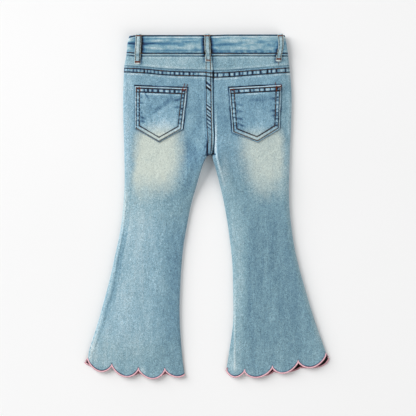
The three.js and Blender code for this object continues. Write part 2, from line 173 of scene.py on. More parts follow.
INN = [  # v, left leg's inner fold, right leg's inner fold
    (157, 206.5, 212.6), (160, 204.9, 213.0), (166, 202.4, 214.8), (171, 200.8, 216.1), (177, 199.0, 217.8),
    (189, 195.5, 220.8), (201, 192.0, 223.6), (213, 189.2, 225.8), (225, 187.0, 227.8), (237, 184.8, 229.4),
    (249, 183.0, 231.0), (261, 181.8, 232.2), (273, 180.9, 232.8), (285, 180.3, 233.1), (297, 179.8, 233.3),
    (309, 179.5, 233.5), (321, 179.7, 233.3), (333, 180.3, 232.0), (345, 181.1, 230.3), (352, 181.8, 229.2),
    (360, 182.6, 228.0), (370, 183.9, 226.4), (390, 186.6, 223.4),
]
CENTRE = [  # v, centre back seam, centre front seam
    (33, 212.0, 209.0), (60, 212.3, 209.0), (72, 212.8, 209.0), (90, 213.0, 209.0), (120, 213.4, 209.2),
    (137, 214.2, 209.4), (147, 213.6, 209.5), (153, 212.8, 209.6), (157, 211.0, 209.6),
]
YOKE = [  # u, lower edge of the yoke
    (118, 65.9), (123.4, 66.2), (145, 67.4), (165, 69.2), (185, 70.1), (204, 70.4), (212, 71.2), (214, 71.2),
    (232, 70.4), (250, 69.0), (270, 67.5), (289.5, 66.0), (294, 65.6),
]
left_outer, right_outer = track(OUT, 1), track(OUT, 2)
left_inner, right_inner = track(INN, 1), track(INN, 2)
centre_back, centre_front = track(CENTRE, 1), track(CENTRE, 2)
yoke_line = track(YOKE, 1)
CROTCH = 157.0


def yoke_row(u):
    """How far the second row of stitches lies below the yoke's edge."""
    return 5.6 + 0.5 * smooth((u - 206) / 8)



# hems: share of the width from the side seam to the inseam, and v of the cusp there
HEMS = {
    ("left", "back"): [(0, 357.4), (0.255, 363.3), (0.530, 367.0), (0.803, 367.6), (1.075, 364.6)],
    ("right", "back"): [(0, 352.4), (0.290, 359.6), (0.547, 365.0), (0.818, 368.6), (1.025, 363.4)],
    ("left", "front"): [(0, 357.4), (0.255, 362.6), (0.531, 371.6), (0.816, 372.0), (1.075, 364.2)],
    ("right", "front"): [(0, 352.4), (0.268, 366.8), (0.534, 370.2), (0.820, 368.4), (1.025, 363.0)],
}
DEPTHS = {  # how far each scallop hangs below the line between its cusps
    ("left", "back"): (9.3, 10.4, 10.3, 9.8),
    ("right", "back"): (9.6, 9.6, 9.5, 9.8),
    ("left", "front"): (8.2, 6.2, 3.6, 5.8),
    ("right", "front"): (8.0, 3.0, 5.8, 7.2),
}
FLARE = {"left": 4.0, "right": 2.9}  # the front hem spreads this far past the back hem at the side seam


def base(v):
    return LIFT * (1 - smooth((np.asarray(v, float) - 55.8) / 28))


def inner_fold(v):
    return smooth((v - 149.5) / 8.5)


def inner_edge(side, layer, v):
    """u of a half's inner end: the centre seam above the crotch and the inner fold below it."""
    leg = left_inner(v) if side == "left" else right_inner(v)
    seam = centre_back(v) if layer == "back" else centre_front(v)
    seam = seam + (-0.08 if side == "left" else 0.08)
    top = left_inner(CROTCH) if side == "left" else right_inner(CROTCH)
    t = smooth((v - 152.5) / (CROTCH - 152.5))
    return np.where(v >= CROTCH, leg, mix(seam, top, t * t))


def band_stitch(u):
    return 53.55 - 1.0 * smooth((140 - u) / 16) - 0.1 * smooth((u - 270) / 16)


def band_stitch_top(u):
    return 36.05 - 0.6 * smooth((u - 208) / 22) + 1.4 * smooth((137 - u) / 9) ** 1.2 + 0.9 * smooth((u - 279) / 7) ** 1.2


def band_top(u):
    return 35.1 - 0.5 * smooth((u - 208) / 22) + 1.5 * smooth((136 - u) / 8) ** 1.2 + 1.2 * smooth((u - 279) / 7) ** 1.2


def band_bottom(u):
    return 55.65 - 0.9 * smooth((140 - u) / 16)


def outer_edge(side, v):
    return left_outer(v) if side == "left" else right_outer(v)


def hem_at(side, layer, s):
    hem = np.array(HEMS[side, layer], float)
    k = np.clip(np.searchsorted(hem[:, 0], s, side="right") - 1, 0, len(hem) - 2)
    p = np.clip((s - hem[k, 0]) / (hem[k + 1, 0] - hem[k, 0]), 0, 1)
    deep = np.array(DEPTHS[side, layer])[k]
    power = np.where((side == "right") & (k == 2), 0.60, 0.72)
    lean = 1 + 0.10 * np.sin(np.pi * p) * np.where(k == 0, 1, 0.3)
    v = mix(hem[k, 1], hem[k + 1, 1], p) + deep * lean * np.power(np.maximum(4 * p * (1 - p), 0), power)
    if layer == "front":
        # the first scallop of the front hangs open at the side seam
        first = {
            "left": ([0, 0.006, 0.016, 0.035, 0.07, 0.13, 0.19, 0.255], [357.4, 360.2, 362.4, 364.0, 366.0, 368.0, 367.6, 362.6]),
            "right": ([0, 0.006, 0.016, 0.036, 0.075, 0.13, 0.20, 0.268], [352.4, 356.4, 360.0, 363.3, 366.0, 366.9, 367.2, 366.8]),
        }[side]
        v = np.where(k == 0, np.interp(s, *first), v)
    return v


# ---------------------------------------------------------------- relief and wear of the back
# pockets: corners, going round from the top left, and the tip at the bottom
POCKETS = {
    "pocket_left": dict(tl=(135.1, 86.1), tr=(187.4, 88.2), br=(182.7, 129.3), tip=(159.1, 142.7), bl=(135.0, 128.6)),
    "pocket_right": dict(tl=(229.0, 87.9), tr=(281.3, 84.9), br=(279.7, 129.0), tip=(257.7, 142.6), bl=(232.4, 132.6)),
}
POCKET_SIDES = {  # top, right side, right foot, left foot, left side: places and depths of the two rows, rim, painted outline shadow
    "pocket_left": [(2.0, 5.8, 1.15, 1.2, 1.0, 2.5), (2.0, 4.9, 0.6, 0.8, 1.05, 1.35), (1.2, 4.6, 0.6, 1.05, 0.1, 0.7), (1.0, 4.6, 0.6, 1.05, 0.2, 0.5), (1.3, 4.4, 0.85, 0.95, 1.2, 0.35)],
    "pocket_right": [(2.0, 5.8, 1.3, 1.35, 1.2, 2.4), (1.5, 5.0, 0.6, 1.0, 0.9, 0.9), (1.6, 5.2, 0.65, 1.25, 0.55, 0.35), (1.4, 5.1, 0.75, 1.15, 0.3, 0.5), (1.6, 4.8, 1.1, 1.1, 0.6, 1.35)],
}
LOOPS = [  # name, centre line as (u, v), width in table units
    ("belt_loop_back_left", [(138.7, 34.2), (138.2, 45), (137.7, 56), (137.5, 64.8)], 6.1),
    ("belt_loop_back_centre", [(207.0, 34.3), (207.4, 45), (208.0, 55), (208.4, 62.2)], 6.0),
    ("belt_loop_back_right", [(280.1, 34.3), (280.7, 40), (280.8, 46), (280.0, 51.5), (278.9, 56), (278.3, 62.0)], 5.7),
]


def to_segment(u, v, a, b):
    d = (b[0] - a[0], b[1] - a[1])
    t = np.clip(((u - a[0]) * d[0] + (v - a[1]) * d[1]) / (d[0] ** 2 + d[1] ** 2), 0, 1)
    return np.hypot(u - a[0] - t * d[0], v - a[1] - t * d[1])


def pocket_outline(name):
    p = POCKETS[name]
    return [p["tl"], p["tr"], p["br"], p["tip"], p["bl"]]


def side_distance(poly, k, u, v):
    """Distance in from side k of a pocket, and the place along it."""
    a, b = poly[k], poly[(k + 1) % len(poly)]
    d = (b[0] - a[0], b[1] - a[1])
    length = math.hypot(*d)
    across = (-(u - a[0]) * d[1] + (v - a[1]) * d[0]) / length
    along = ((u - a[0]) * d[0] + (v - a[1]) * d[1]) / length
    return across, along, length


def inside(u, v, poly):
    """Signed distance into a convex polygon that is given clockwise as seen from above."""
    out = np.full(np.broadcast(u, v).shape, 1e9)
    n = len(poly)
    for k in range(n):
        a, b = poly[k], poly[(k + 1) % n]
        d = (b[0] - a[0], b[1] - a[1])
        length = math.hypot(*d)
        out = np.minimum(out, (-(u - a[0]) * d[1] + (v - a[1]) * d[0]) / length)
    return out


# Folds and creases of the back, as lines of (u, v, strength in mm), each with its width.
CREASES = [
    # left thigh, from the crotch outwards
    ([(206, 139, 0), (203.5, 148, 0.9), (199.5, 158, 0.7), (196, 168, 0)], 2.2),
    ([(203, 150, 0), (198, 163, -0.8), (192, 177, -0.9), (186, 190, -0.6), (182, 203, 0)], 3.4),
    ([(200, 140, 0), (196, 153, 0.6), (190, 168, 0.7), (183, 186, 0)], 2.6),
    ([(192, 132, 0), (189, 146, -0.5), (184, 160, -0.5), (178, 176, 0)], 3.0),
    # right thigh
    ([(216.4, 124, 0), (216.4, 137, 0.8), (216.2, 150, 1.1), (218.6, 163, 1.0), (222.6, 176, 0.7), (227, 190, 0)], 1.5),
    ([(222, 140, 0), (227, 156, -0.6), (232, 172, -0.7), (238, 190, -0.7), (243, 206, 0)], 4.0),
    ([(231, 150, 0), (237, 166, 0.4), (243, 186, 0.4), (247, 204, 0)], 4.0),
    # knees: the faint cross crease of a garment that was folded in half, and slack above it
    ([(128, 216.5, 0), (143, 216.0, 0.28), (160, 215.6, 0.34), (178, 216.2, 0.2), (186, 217, 0)], 1.2),
    ([(232, 215.4, 0), (243, 215.2, 0.3), (258, 214.8, 0.38), (272, 215.2, 0.25), (283, 216, 0)], 1.2),
    ([(136, 219.2, 0), (150, 219.4, -0.22), (166, 219.2, -0.22), (176, 219.6, 0)], 1.4),
    ([(238, 219.6, 0), (252, 219.4, -0.22), (266, 219.2, -0.2), (276, 219.8, 0)], 1.4),
    ([(127, 200, 0), (132, 206, -0.5), (131, 214, -0.4), (128, 222, 0)], 1.6),
    ([(168, 188, 0), (172, 196, -0.5), (174, 204, -0.4), (172, 212, 0)], 2.2),
    ([(150, 184, 0), (158, 192, -0.3), (170, 197, -0.3), (181, 200, 0)], 2.6),
    # left leg, long slack folds
    ([(140, 228, 0), (136, 262, 0.35), (129, 300, 0.4), (121, 338, 0.2), (118, 352, 0)], 4.5),
    ([(151, 230, 0), (149, 268, -0.3), (144, 306, -0.35), (139, 345, 0)], 4.0),
    ([(160, 226, 0), (160, 268, 0.3), (157, 310, 0.3), (154, 350, 0)], 4.5),
    ([(121, 300, 0), (115, 322, -0.35), (108, 345, -0.3), (105, 356, 0)], 3.2),
    ([(170, 250, 0), (171, 290, -0.3), (170, 330, -0.3), (168, 356, 0)], 3.6),
    # right leg
    ([(233, 218, 0), (236, 250, 0.5), (236.6, 290, 0.6), (235.6, 320, 0.4), (235, 345, 0)], 2.4),
    ([(241, 205, 0), (246, 245, -0.7), (248.5, 290, -0.8), (248, 330, -0.6), (247, 356, 0)], 4.6),
    ([(262, 226, 0), (266, 262, 0.3), (272, 300, 0.35), (279, 340, 0)], 6.0),
    ([(279, 240, 0), (286, 280, -0.3), (295, 320, -0.35), (302, 348, 0)], 6.0),
    ([(293, 300, 0), (300, 325, 0.3), (308, 345, 0.35), (312, 358, 0)], 4.5),
    ([(318, 338, 0), (308, 346, -0.4), (300, 352, -0.5), (290, 356, 0)], 2.6),
    # hems: each scallop's root
    ([(104, 352, 0), (108, 357, -0.35), (111, 362, 0)], 2.2),
    ([(133, 352, 0), (136, 359, -0.35), (138, 366, 0)], 2.2),
    ([(163, 352, 0), (164, 359, -0.35), (164.6, 366, 0)], 2.2),
    ([(246, 354, 0), (246, 361, -0.35), (245.6, 367, 0)], 2.2),
    ([(274, 350, 0), (273.6, 357, -0.35), (272.8, 364, 0)], 2.2),
    ([(300, 344, 0), (299, 352, -0.4), (298.2, 358.6, 0)], 2.2),
    # left edge of the seat's fading
    ([(134.5, 138, 0), (134.2, 150, -0.45), (133.6, 168, -0.55), (132.4, 186, -0.5), (131, 196, 0)], 1.2),
    # hips
    ([(124, 74, 0), (131, 90, -0.4), (131, 110, -0.5), (130, 132, -0.3), (130, 146, 0)], 2.4),
    ([(284.6, 78, 0), (286, 100, -0.35), (285, 130, -0.3), (284, 150, 0)], 2.4),
    ([(192, 78, 0), (194, 100, 0.3), (193, 124, 0.3), (190, 140, 0)], 4.0),
    ([(220, 80, 0), (221, 100, 0.3), (222, 126, 0.3), (226, 146, 0)], 3.6),
    ([(198, 84, 0), (201, 88.5, -0.3), (205.5, 92, -0.5)], 1.2),
    ([(199, 96, 0), (203, 99, -0.25), (206, 101, -0.4)], 1.1),
]
# Strokes of rope twist on the centre back seam: place down the seam, strength and half width
ROPE = [(84.2, 1.0, 1.5), (88.6, 2.2, 1.1), (103.6, 0.5, 0.8), (106.4, 1.2, 0.9), (110.2, 1.5, 1.0), (113.6, 0.7, 0.8), (116.6, 1.4, 0.9), (120.4, 0.9, 0.9), (124.4, 0.8, 0.8), (128.2, 0.6, 0.8), (134.0, 0.3, 0.8)]
# Dark bars between the two rows of stitches under the yoke
YOKE_BARS = [  # bars across the seam under the yoke: u, strength
    (124.6, 0.5), (127.4, 0.4), (129.8, 0.35), (133.5, 0.75), (136.5, 0.65), (140.5, 0.4), (144.5, 1.0), (147.5, 0.8), (150.5, 0.6),
    (154.5, 0.65), (158.5, 0.6), (162.5, 0.75), (166.5, 0.4), (170.5, 0.6), (174.5, 0.8), (179.5, 0.85), (183.5, 0.95), (189.5, 1.0),
    (193.5, 0.7), (198.5, 0.5), (217.5, 0.95), (223.5, 0.75), (229.5, 1.1), (234.5, 0.9), (239.5, 1.0), (242.5, 0.65), (247.5, 0.8),
    (252.5, 1.0), (256.5, 0.3), (260.5, 1.0), (267.5, 1.25), (271.5, 0.8), (276.5, 1.0), (279.5, 0.4), (285.5, 0.85), (288.5, 0.25),
]
SEAM_BAND = [(170, 2.6), (215, 3.0), (230, 3.2), (260, 3.5), (275, 4.6), (290, 5.8), (315, 5.0), (335, 5.6), (352, 5.4), (364, 5.0)]
band_width = track(SEAM_BAND, 1)


LOOP_SHADE = {  # v, depth of the painted shadow on the left and on the right
    "belt_loop_back_left": [(34, 0.35, 2.0), (60, 0.35, 1.9), (64.5, 0.3, 0.8), (66, 0.2, 0.3)],
    "belt_loop_back_centre": [(34, 1.5, 1.7), (54, 1.4, 1.6), (61, 0.6, 0.9), (63, 0.5, 0.5)],
    "belt_loop_back_right": [(34, 0.1, 0.0), (43, 0.3, 0.0), (48, 1.0, 0.1), (56, 1.6, 0.6), (61, 1.1, 0.4), (63, 0.5, 0.2)],
}


def loop_shade(u, v):
    """Painted shadow beside the belt loops, as a darkening."""
    out = np.zeros(np.broadcast(u, v).shape)
    for name, line, width in LOOPS:
        lu, lv = np.array(line).T
        off = u - np.interp(v, lv, lu)
        d = np.maximum(np.abs(off) - width / 2, 0)
        sv, sl, sr = np.array(LOOP_SHADE[name]).T
        depth = np.where(off > 0, np.interp(v, sv, sr), np.interp(v, sv, sl))
        out += depth * np.exp(-((d / 1.7) ** 1.5)) * (v < lv[-1] + 1.0)
    return out


def crown(side, u, v):
    """Loft of the upper layer, mm, before the folds round it off."""
    uo, ui = outer_edge(side, v), inner_edge(side, "back", v)
    width = np.abs(ui - uo)
    e_out, e_in = np.abs(u - uo), np.abs(u - ui)
    s = np.clip(e_out / width, 0, 1)
    hips = 2.2 * (1 - (1 - np.clip(e_out / 15, 0, 1)) ** 2)
    if side == "left":
        leg = 5.6 * np.power(np.maximum(4 * s * (1 - s), 0), 0.85)
    else:
        leg = 4.6 * (1 - (1 - np.clip(e_in / 22, 0, 1)) ** 2) * (1 - (1 - np.clip(e_out / 9, 0, 1)) ** 3)
    t = smooth((v - 138) / 50)
    rise = mix(hips, leg, t)
    # the thighs bunch up on both sides of the crotch, and the seam lies in a valley between them
    near = np.exp(-(((v - 161) / np.where(v < 161, 15, 24)) ** 2)) * np.exp(-((e_in / 16) ** 2))
    valley = mix(1 - np.exp(-((e_in / 3.2) ** 2)), 1, smooth((v - 154.5) / 3))
    rise = rise + 14.5 * near * valley
    return rise * (1 - 0.62 * smooth((v - 318) / 52))


def back_relief(side, u, v):
    """Folds and puckers of a back panel, mm."""
    z = np.zeros(np.broadcast(u, v).shape)
    for points, width in CREASES:
        z += ridge(u, v, points, width)
    uo, ui = outer_edge(side, v), inner_edge(side, "back", v)
    e_out = np.abs(u - uo)
    # slack of the cloth
    z += 0.30 * noise(u / 13, v / 24, 3) + 0.16 * noise(u / 5, v / 8, 5) + 0.13 * noise(u / 2.1 + 0.3 * v, v / 2.7, 8)
    # felled seam under the yoke, a raised band with puckers
    d = v - yoke_line(u)
    over = smooth((d + 0.2) / 0.7) * (1 - smooth((d - 6.3) / 1.3))
    ladder = rungs(u, YOKE_BARS, 0.9)
    z += 0.85 * over
    z -= over * (0.75 * ladder * np.exp(-(((d - 3.4) / 2.2) ** 2)))
    z -= 0.5 * np.exp(-(((d - 1.9) / 0.5) ** 2)) + 0.6 * np.exp(-(((d - yoke_row(u)) / 0.55) ** 2))
    z -= 0.25 * rungs(u - 0.6, YOKE_BARS, 1.3) * np.exp(-(((d - 8.0) / 1.6) ** 2))
    # centre back seam: a felled band on the left half, its edge standing over the right half
    c = centre_back(v)
    if side == "left":
        w = c - u
        felled = smooth((8.3 - w) / 1.0) * smooth((v - 70) / 3)
        z += 0.9 * felled
        for place, strength, wide in ROPE:
            line = place + (u - c + 4.6) * 0.8
            z += strength * 0.35 * felled * np.exp(-(((v - line + 1.5) / 0.8) ** 2)) * smooth(w / 1.4)
            z -= strength * 0.45 * felled * np.exp(-(((v - line) / wide) ** 2)) * smooth(w / 1.4)
        z -= 0.35 * smooth((v - 70) / 3) * np.exp(-(((w - 7.2) / 0.6) ** 2))
        z -= 0.3 * smooth((v - 70) / 3) * np.exp(-(((w - 2.2) / 0.5) ** 2))
        z -= 2.4 * ridge(u, v, [(207.6, 139.5, 0), (208.2, 146, 0.8), (207.5, 152, 1), (206.6, 158, 1)], 0.9)
    else:
        w = u - c
        z -= 0.9 * smooth((1.6 - w) / 1.6) * smooth((v - 70) / 3)
    # side seam's allowance, pressed to one side, shows on the left leg
    if side == "left":
        w = band_width(v)
        show = smooth((v - 172) / 40)
        z += show * 0.60 * (1 - smooth((e_out - w + 0.6) / 1.6))
        z -= show * 0.18 * np.exp(-(((e_out - w - 1.2) / 1.0) ** 2))
        z += show * 0.10 * noise(v / 3.1, e_out / 4, 21) * np.exp(-((e_out / 4.5) ** 2))
    else:
        # the inner side of the right hem falls away from a straight crease
        c2 = 234.4
        z -= 0.42 * np.maximum(c2 - u, 0) * smooth((v - 292) / 50)
        z += 0.45 * np.exp(-(((u - c2 - 0.2) / 0.8) ** 2)) * smooth((v - 275) / 40) * (1 - smooth((v - 366) / 8))
    # scallops lift a little from the surface at their tips
    z += 0.25 * noise(u / 6, v / 6, 33) * smooth((v - 345) / 15)
    return z


def thigh(v):
    """How far a height is from that of the crotch, 1 to 0."""
    return np.exp(-(((np.asarray(v, float) - 163) / np.where(np.asarray(v) < 163, 12, 24)) ** 2))


def inner_lift(v, e):
    """Extra height of the inner folds beside the crotch, mm."""
    return 7.0 * thigh(v) * inner_fold(v) * np.exp(-((e / 3.5) ** 2))


def back_z(side, u, v, relief=True):
    """Height of the back panels' and yokes' outer face, mm."""
    uo, ui = outer_edge(side, v), inner_edge(side, "back", v)
    e_out = np.maximum(np.abs(u - uo) * UNIT, 0)
    e_in = np.maximum(np.abs(u - ui) * UNIT, 0)
    laid = mix(7.7, 6.2, smooth((v - 325) / 45))
    low = base(v)
    full = laid + crown(side, u, v)
    if relief:
        full = full + back_relief(side, u, v)
    round_out = np.sqrt(np.maximum(1 - (1 - np.clip(e_out / FOLD, 0, 1)) ** 2, 0))
    round_in = np.sqrt(np.maximum(1 - (1 - np.clip(e_in / (FOLD - 3.2 * thigh(v)), 0, 1)) ** 2, 0))
    f = inner_fold(v)
    half = mix(HALF, 3.0, smooth((v - 325) / 45)) + inner_lift(v, e_in)
    return low + half + (full - half) * round_out * (1 - f + f * round_in)


def back_z_any(u, v, relief=True):
    c = np.where(v < CROTCH, centre_back(v), 210.0)
    return np.where(u < c, back_z("left", u, v, relief), back_z("right", u, v, relief))


# Wash of the cloth: -1 unworn indigo, 0 mid blue, 1 nearly bare; painted shade and light use the same scale. Rows: u,
# v, reach in u and v, amount.
# the left leg lighter on its outer side and darker on its inner side, and the right leg darker, are partly worn colour
# and partly painted shade from light on the left
WASH_AND_SHADE = [
    (152, 205, 34, 38, 0.16), (136, 300, 26, 75, 0.24), (140, 244, 16, 40, 0.14), (176, 300, 16, 90, -0.12),
    (119, 310, 8, 34, 0.20), (106, 340, 9, 24, 0.34), (127, 214, 5, 22, 0.30), (262, 235, 40, 40, -0.10),
    (275, 305, 40, 70, -0.13), (240, 250, 8, 60, 0.26), (239, 315, 8, 50, 0.20), (224, 184, 7, 16, 0.24),
    (127, 105, 7, 45, 0.26), (126, 150, 6, 40, 0.22), (129, 176, 5, 30, 0.16), (152, 225, 26, 18, 0.10), (150, 280, 26, 26, 0.07), (197, 112, 8, 30, -0.10), (224, 112, 8, 30, -0.08),
    (188, 165, 8, 30, -0.20), (229, 165, 9, 34, 0.04), (240, 172, 6, 28, -0.04), (287, 110, 6, 50, 0.02),
    (283, 175, 8, 30, 0.18), (150, 80, 40, 7, 0.08), (250, 80, 40, 7, 0.04), (144, 340, 24, 22, 0.12),
    (306, 344, 20, 16, 0.02), (318, 330, 8, 22, 0.12), (172, 202, 14, 14, -0.08),
    (235, 355, 10, 14, 0.10), (102, 362, 12, 8, 0.20), (114.8, 367.6, 3.4, 3, 0.45), (142.3, 370.4, 3.4, 3, 0.4),
    (169, 372, 3, 3, 0.25), (250, 372, 4, 3, 0.2), (277, 368, 4, 3, 0.2),
    (94, 350, 5, 15, 0.55), (126, 65, 4, 5, 0.35), (124, 88, 3, 7, 0.30), (230, 360, 4, 9, 0.30), (209, 112, 3, 12, 0.0), (216, 58, 6, 2.6, -0.6), (195, 158, 6, 11, -0.30), (187.5, 129, 5, 9, 0.26), (118, 352, 7, 10, 0.14),
    (272, 352, 8, 8, 0.10), (157, 250, 14, 16, 0.09), (125, 245, 6, 14, 0.10), (245, 205, 12, 14, -0.09), (232, 230, 4, 24, 0.24),
    (225, 168, 4, 15, 0.22), (235, 367, 6, 6, 0.30),
]
def blobs(u, v, rows):
    out = np.zeros(np.broadcast(u, v).shape)
    for cu, cv, ru, rv, amount in rows:
        r = ((u - cu) / ru) ** 2 + ((v - cv) / rv) ** 2
        out += amount * np.exp(-1.1 * r**1.25)
    return out


FADE_LEFT = [  # cream fading of the seat: v, where it starts, is full, ends being full and has gone
    (118, 138, 152, 160, 180), (132, 131, 146, 166, 189), (150, 128.5, 141, 167, 191), (168, 129, 139, 165, 189),
    (185, 129, 137, 158, 187), (198, 129.5, 139, 150, 183), (212, 132, 142, 148, 172),
]
FADE_RIGHT = [
    (118, 244, 256, 266, 282), (132, 236, 252, 276, 287), (150, 231, 255, 278, 288), (168, 234, 258, 277, 288),
    (185, 241, 262, 271, 290), (198, 246, 264, 269, 289), (212, 252, 266, 269, 284),
]
FADE_TRACKS = [[track(rows, k) for k in (1, 2, 3, 4)] for rows in (FADE_LEFT, FADE_RIGHT)]


def cream_at(u, v):
    du = 1.3 * noise(u / 7, v / 7, 43) + 0.8 * noise(u / 3, v / 4, 44)
    out = 0
    for (a, b, c, d), full in zip(FADE_TRACKS, (1.0, 0.84)):
        x = smooth((u + du - a(v)) / (b(v) - a(v))) * smooth((d(v) - u - du) / (d(v) - c(v)))
        out = out + full * x * smooth((v - 118) / 20) * (1 - smooth((v - 170 + 2 * du) / 38))
    patch = 0.06 * noise(u / 6, v / 10, 45) + 0.04 * noise(u / 2.4, v / 6, 46) + 0.03 * noise(u / 1.3, v / 2, 47)
    return np.clip(out * (0.93 + 0.05 * (u < 208) - 0.04 * (u > 208) + patch), 0, 1)


def unfaded_and_shaded(w, share, deep=-1.6):
    """Darkens towards deep: where thread is pulled in the cloth stays as dark as new, and the same darkening is used as
    painted shade in stitch grooves, slits and creases.
    """
    share = np.clip(share, 0, 1)
    return w * (1 - share) + deep * share


def hue_at(u, v, cream, deep=0.85):
    """How blue the cloth still is: more so at the seat, and not where it has faded to cream."""
    tone = deep * (1 - smooth((v - 140) / 60)) * (1 - 0.7 * smooth((u - 276) / 10)) + 0.10 * noise(u / 11, v / 13, 48)
    tone = tone + 0.5 * (u < 208) * smooth((v - 205) / 30) * (1 - smooth((v - 325) / 30))
    return 0.5 * np.clip(tone, 0, 1) * (1 - 0.75 * np.clip(cream, 0, 1))


def back_wash_and_shade(side, u, v):
    """Wash of a back panel or yoke, with painted shade and light."""
    w = blobs(u, v, WASH_AND_SHADE)
    d = v - yoke_line(u)
    over = smooth((d + 0.3) / 0.7) * (1 - smooth((d - 6.6) / 1.2))
    within = np.exp(-(((d - 3.8) / 2.2) ** 4))
    w += over * within * (0.36 + 0.5 * noise(u / 2.3, d / 3, 67))
    # dark pucker bars and the two stitch rows under the yoke: unfaded cloth with painted shade
    w = unfaded_and_shaded(w, 1.05 * over * within * rungs(u, YOKE_BARS, 0.9), -1.5)
    row = yoke_row(u)
    w = unfaded_and_shaded(w, 0.85 * np.exp(-(((d - 1.95) / 0.62) ** 2)) + 0.9 * np.exp(-(((d - row) / 0.64) ** 2)))
    w += 0.75 * np.exp(-(((d - row - 1.75) / 0.8) ** 2)) * (0.7 + 0.6 * noise(u / 4, v / 9, 64))
    c = centre_back(v)
    down = smooth((v - 70) / 3)
    if side == "left":
        x = c - u
        felled = smooth((8.3 - x) / 1.0) * down
        w += 0.10 * felled
        between = smooth((7.0 - x) / 0.6) * smooth((x - 2.2) / 0.6)
        for place, strength, wide in ROPE:
            line = place + (u - c + 4.6) * 0.8
            w += strength * 0.55 * between * down * np.exp(-(((v - line + wide + 1.1) / 0.75) ** 2))
            w -= strength * 1.15 * between * down * np.exp(-(((v - line) / wide) ** 4))
        w += (0.30 + 0.45 * smooth((v - 92) / 20)) * np.exp(-(((x - 1.25) / 0.5) ** 2)) * down
        # painted shadow along the felled edge, deepest at the yoke crossing
        w -= (0.75 + 1.2 * np.exp(-(((v - 74) / 6) ** 2))) * np.exp(-(((x - 0.1) / 0.6) ** 2)) * down
        w -= 1.9 * np.exp(-(((x - 6.8) / 0.5) ** 2)) * down * (1 - 0.6 * smooth((v - 84) / 8))
        w -= 0.9 * np.exp(-(((x - 2.3) / 0.45) ** 2)) * down
        w -= 0.25 * np.exp(-(((x - 8.6) / 0.9) ** 2)) * down
        w += 0.25 * np.exp(-(((x - 9.6) / 1.3) ** 2)) * down * (1 - smooth((v - 120) / 20))
        # painted shade: black in the slit beside the lower end of the centre seam and across its end
        w = unfaded_and_shaded(w, ridge(u, v, [(206.9, 138, 0), (207.5, 143, 0.8), (207.4, 149, 1.1), (207.4, 155, 1.1)], 0.95))
        w = unfaded_and_shaded(w, ridge(u, v, [(207.2, 155.2, 0.9), (210, 155.6, 0.6), (213, 154.8, 0.9)], 0.8))
        w -= ridge(u, v, [(206, 146, 0.3), (201, 153, 0.22), (197, 162, 0)], 1.6)
    else:
        x = u - c
        # painted shadow cast by the felled edge onto the right half, deepest at the yoke crossing and towards the
        # crotch
        deep = 1.1 - 0.25 * smooth((v - 79) / 4) + 0.9 * smooth((v - 120) / 8) + 2.2 * np.exp(-(((v - 74) / 6) ** 2))
        w -= deep * np.exp(-(((x - 0.1) / (0.75 + 0.5 * np.exp(-(((v - 74) / 6) ** 2)))) ** 2)) * down * (1 - smooth((v - 153) / 3))
        # painted highlight beside the centre seam on the right half
        w += ridge(u, v, [(216.2, 104, 0), (216.0, 112, 0.4), (215.9, 121, 0.6), (215.7, 132, 0.85), (215.4, 148, 1.0), (215.9, 154, 0.9), (217.4, 161, 0.55), (220.5, 172, 0.4), (225, 188, 0)], 1.05)
        # painted shade: black at the lower end of the centre seam
        w = unfaded_and_shaded(w, ridge(u, v, [(212.9, 151, 0.6), (213.2, 153.6, 1.0), (215.0, 154.4, 0.9)], 0.85))
        w -= ridge(u, v, [(217, 150, 0), (219.4, 160, 0.22), (222, 170, 0)], 1.4)
    w += 0.11 * noise(u / 6, v / 10, 68) * (1 - smooth((v - 140) / 20)) * smooth((v - 76) / 6)
    # dark outlines round the pockets: painted shadow of the raised pocket edges, with cloth left unfaded there
    for name in POCKETS:
        poly = pocket_outline(name)
        e = -inside(u, v, poly)
        nearest = np.argmin(np.array([side_distance(poly, k, u, v)[0] for k in range(5)]), axis=0)
        much = np.array([row[5] for row in POCKET_SIDES[name]])[nearest] * (0.8 + 0.6 * noise(u / 5, v / 5, 66))
        w -= much * np.exp(-(((e - 0.45) / 0.62) ** 2)) * (e > -3)
    # creases keep their colour, and what stands up loses it
    for points, width in CREASES:
        w += 0.12 * ridge(u, v, points, width * 0.8)
    uo = outer_edge(side, v)
    e_out = np.abs(u - uo)
    if side == "left":
        show = smooth((v - 172) / 40)
        bw = band_width(v)
        lower_leg = smooth((v - 262) / 20)
        w += show * 0.34 * (1 - smooth((e_out - bw + 1.5 + 1.2 * lower_leg) / 2.2)) * (1 + 0.15 * noise(v / 2.2, 0 * v, 51))
        w -= show * 0.12 * np.exp(-((e_out / 1.2) ** 2))
        w -= show * 0.17 * smooth((e_out - bw + 0.2) / 0.8) * (1 - smooth((e_out - bw - 3.8) / 1.0)) * (1 - smooth((v - 290) / 20))
        w -= show * 0.20 * np.exp(-(((e_out - bw - 4.0 - 0.4 * lower_leg) / 0.6) ** 2)) * (1 - smooth((v - 292) / 16)) * (1 + 0.9 * noise(v / 2.6, 0 * v, 53))
        # slate dashes on the outermost edge above the hem
        w -= 1.0 * np.exp(-(((e_out - 0.5) / 0.8) ** 2)) * bars(v, [332.5, 337.5, 343.2, 348.2, 352.2], 1.1)
        # painted shade at the step down from the pressed seam allowance
        w -= show * 0.08 * np.exp(-(((e_out - bw - 0.2) / 0.8) ** 2)) * (1 + 0.6 * noise(v / 2.6, 0 * v, 52))
    else:
        # painted light along the right leg's outer edge, against the shade of its rounding
        w += 0.26 * (1 - smooth((e_out - 0.8) / 5)) * (1 - smooth((v - 330) / 25))
        # painted highlight on the crest of the crease by the inseam
        w += 0.5 * np.exp(-(((u - 234.7) / 0.9) ** 2)) * smooth((v - 276) / 40) * (1 - smooth((v - 367) / 6))
    w += 0.07 * noise(u / 7, v / 40, 61) + 0.06 * noise(u / 2.6, v / 12, 62) + 0.10 * noise(u / 1.5 + 0.2 * v, v / 2.2, 63)
    return w


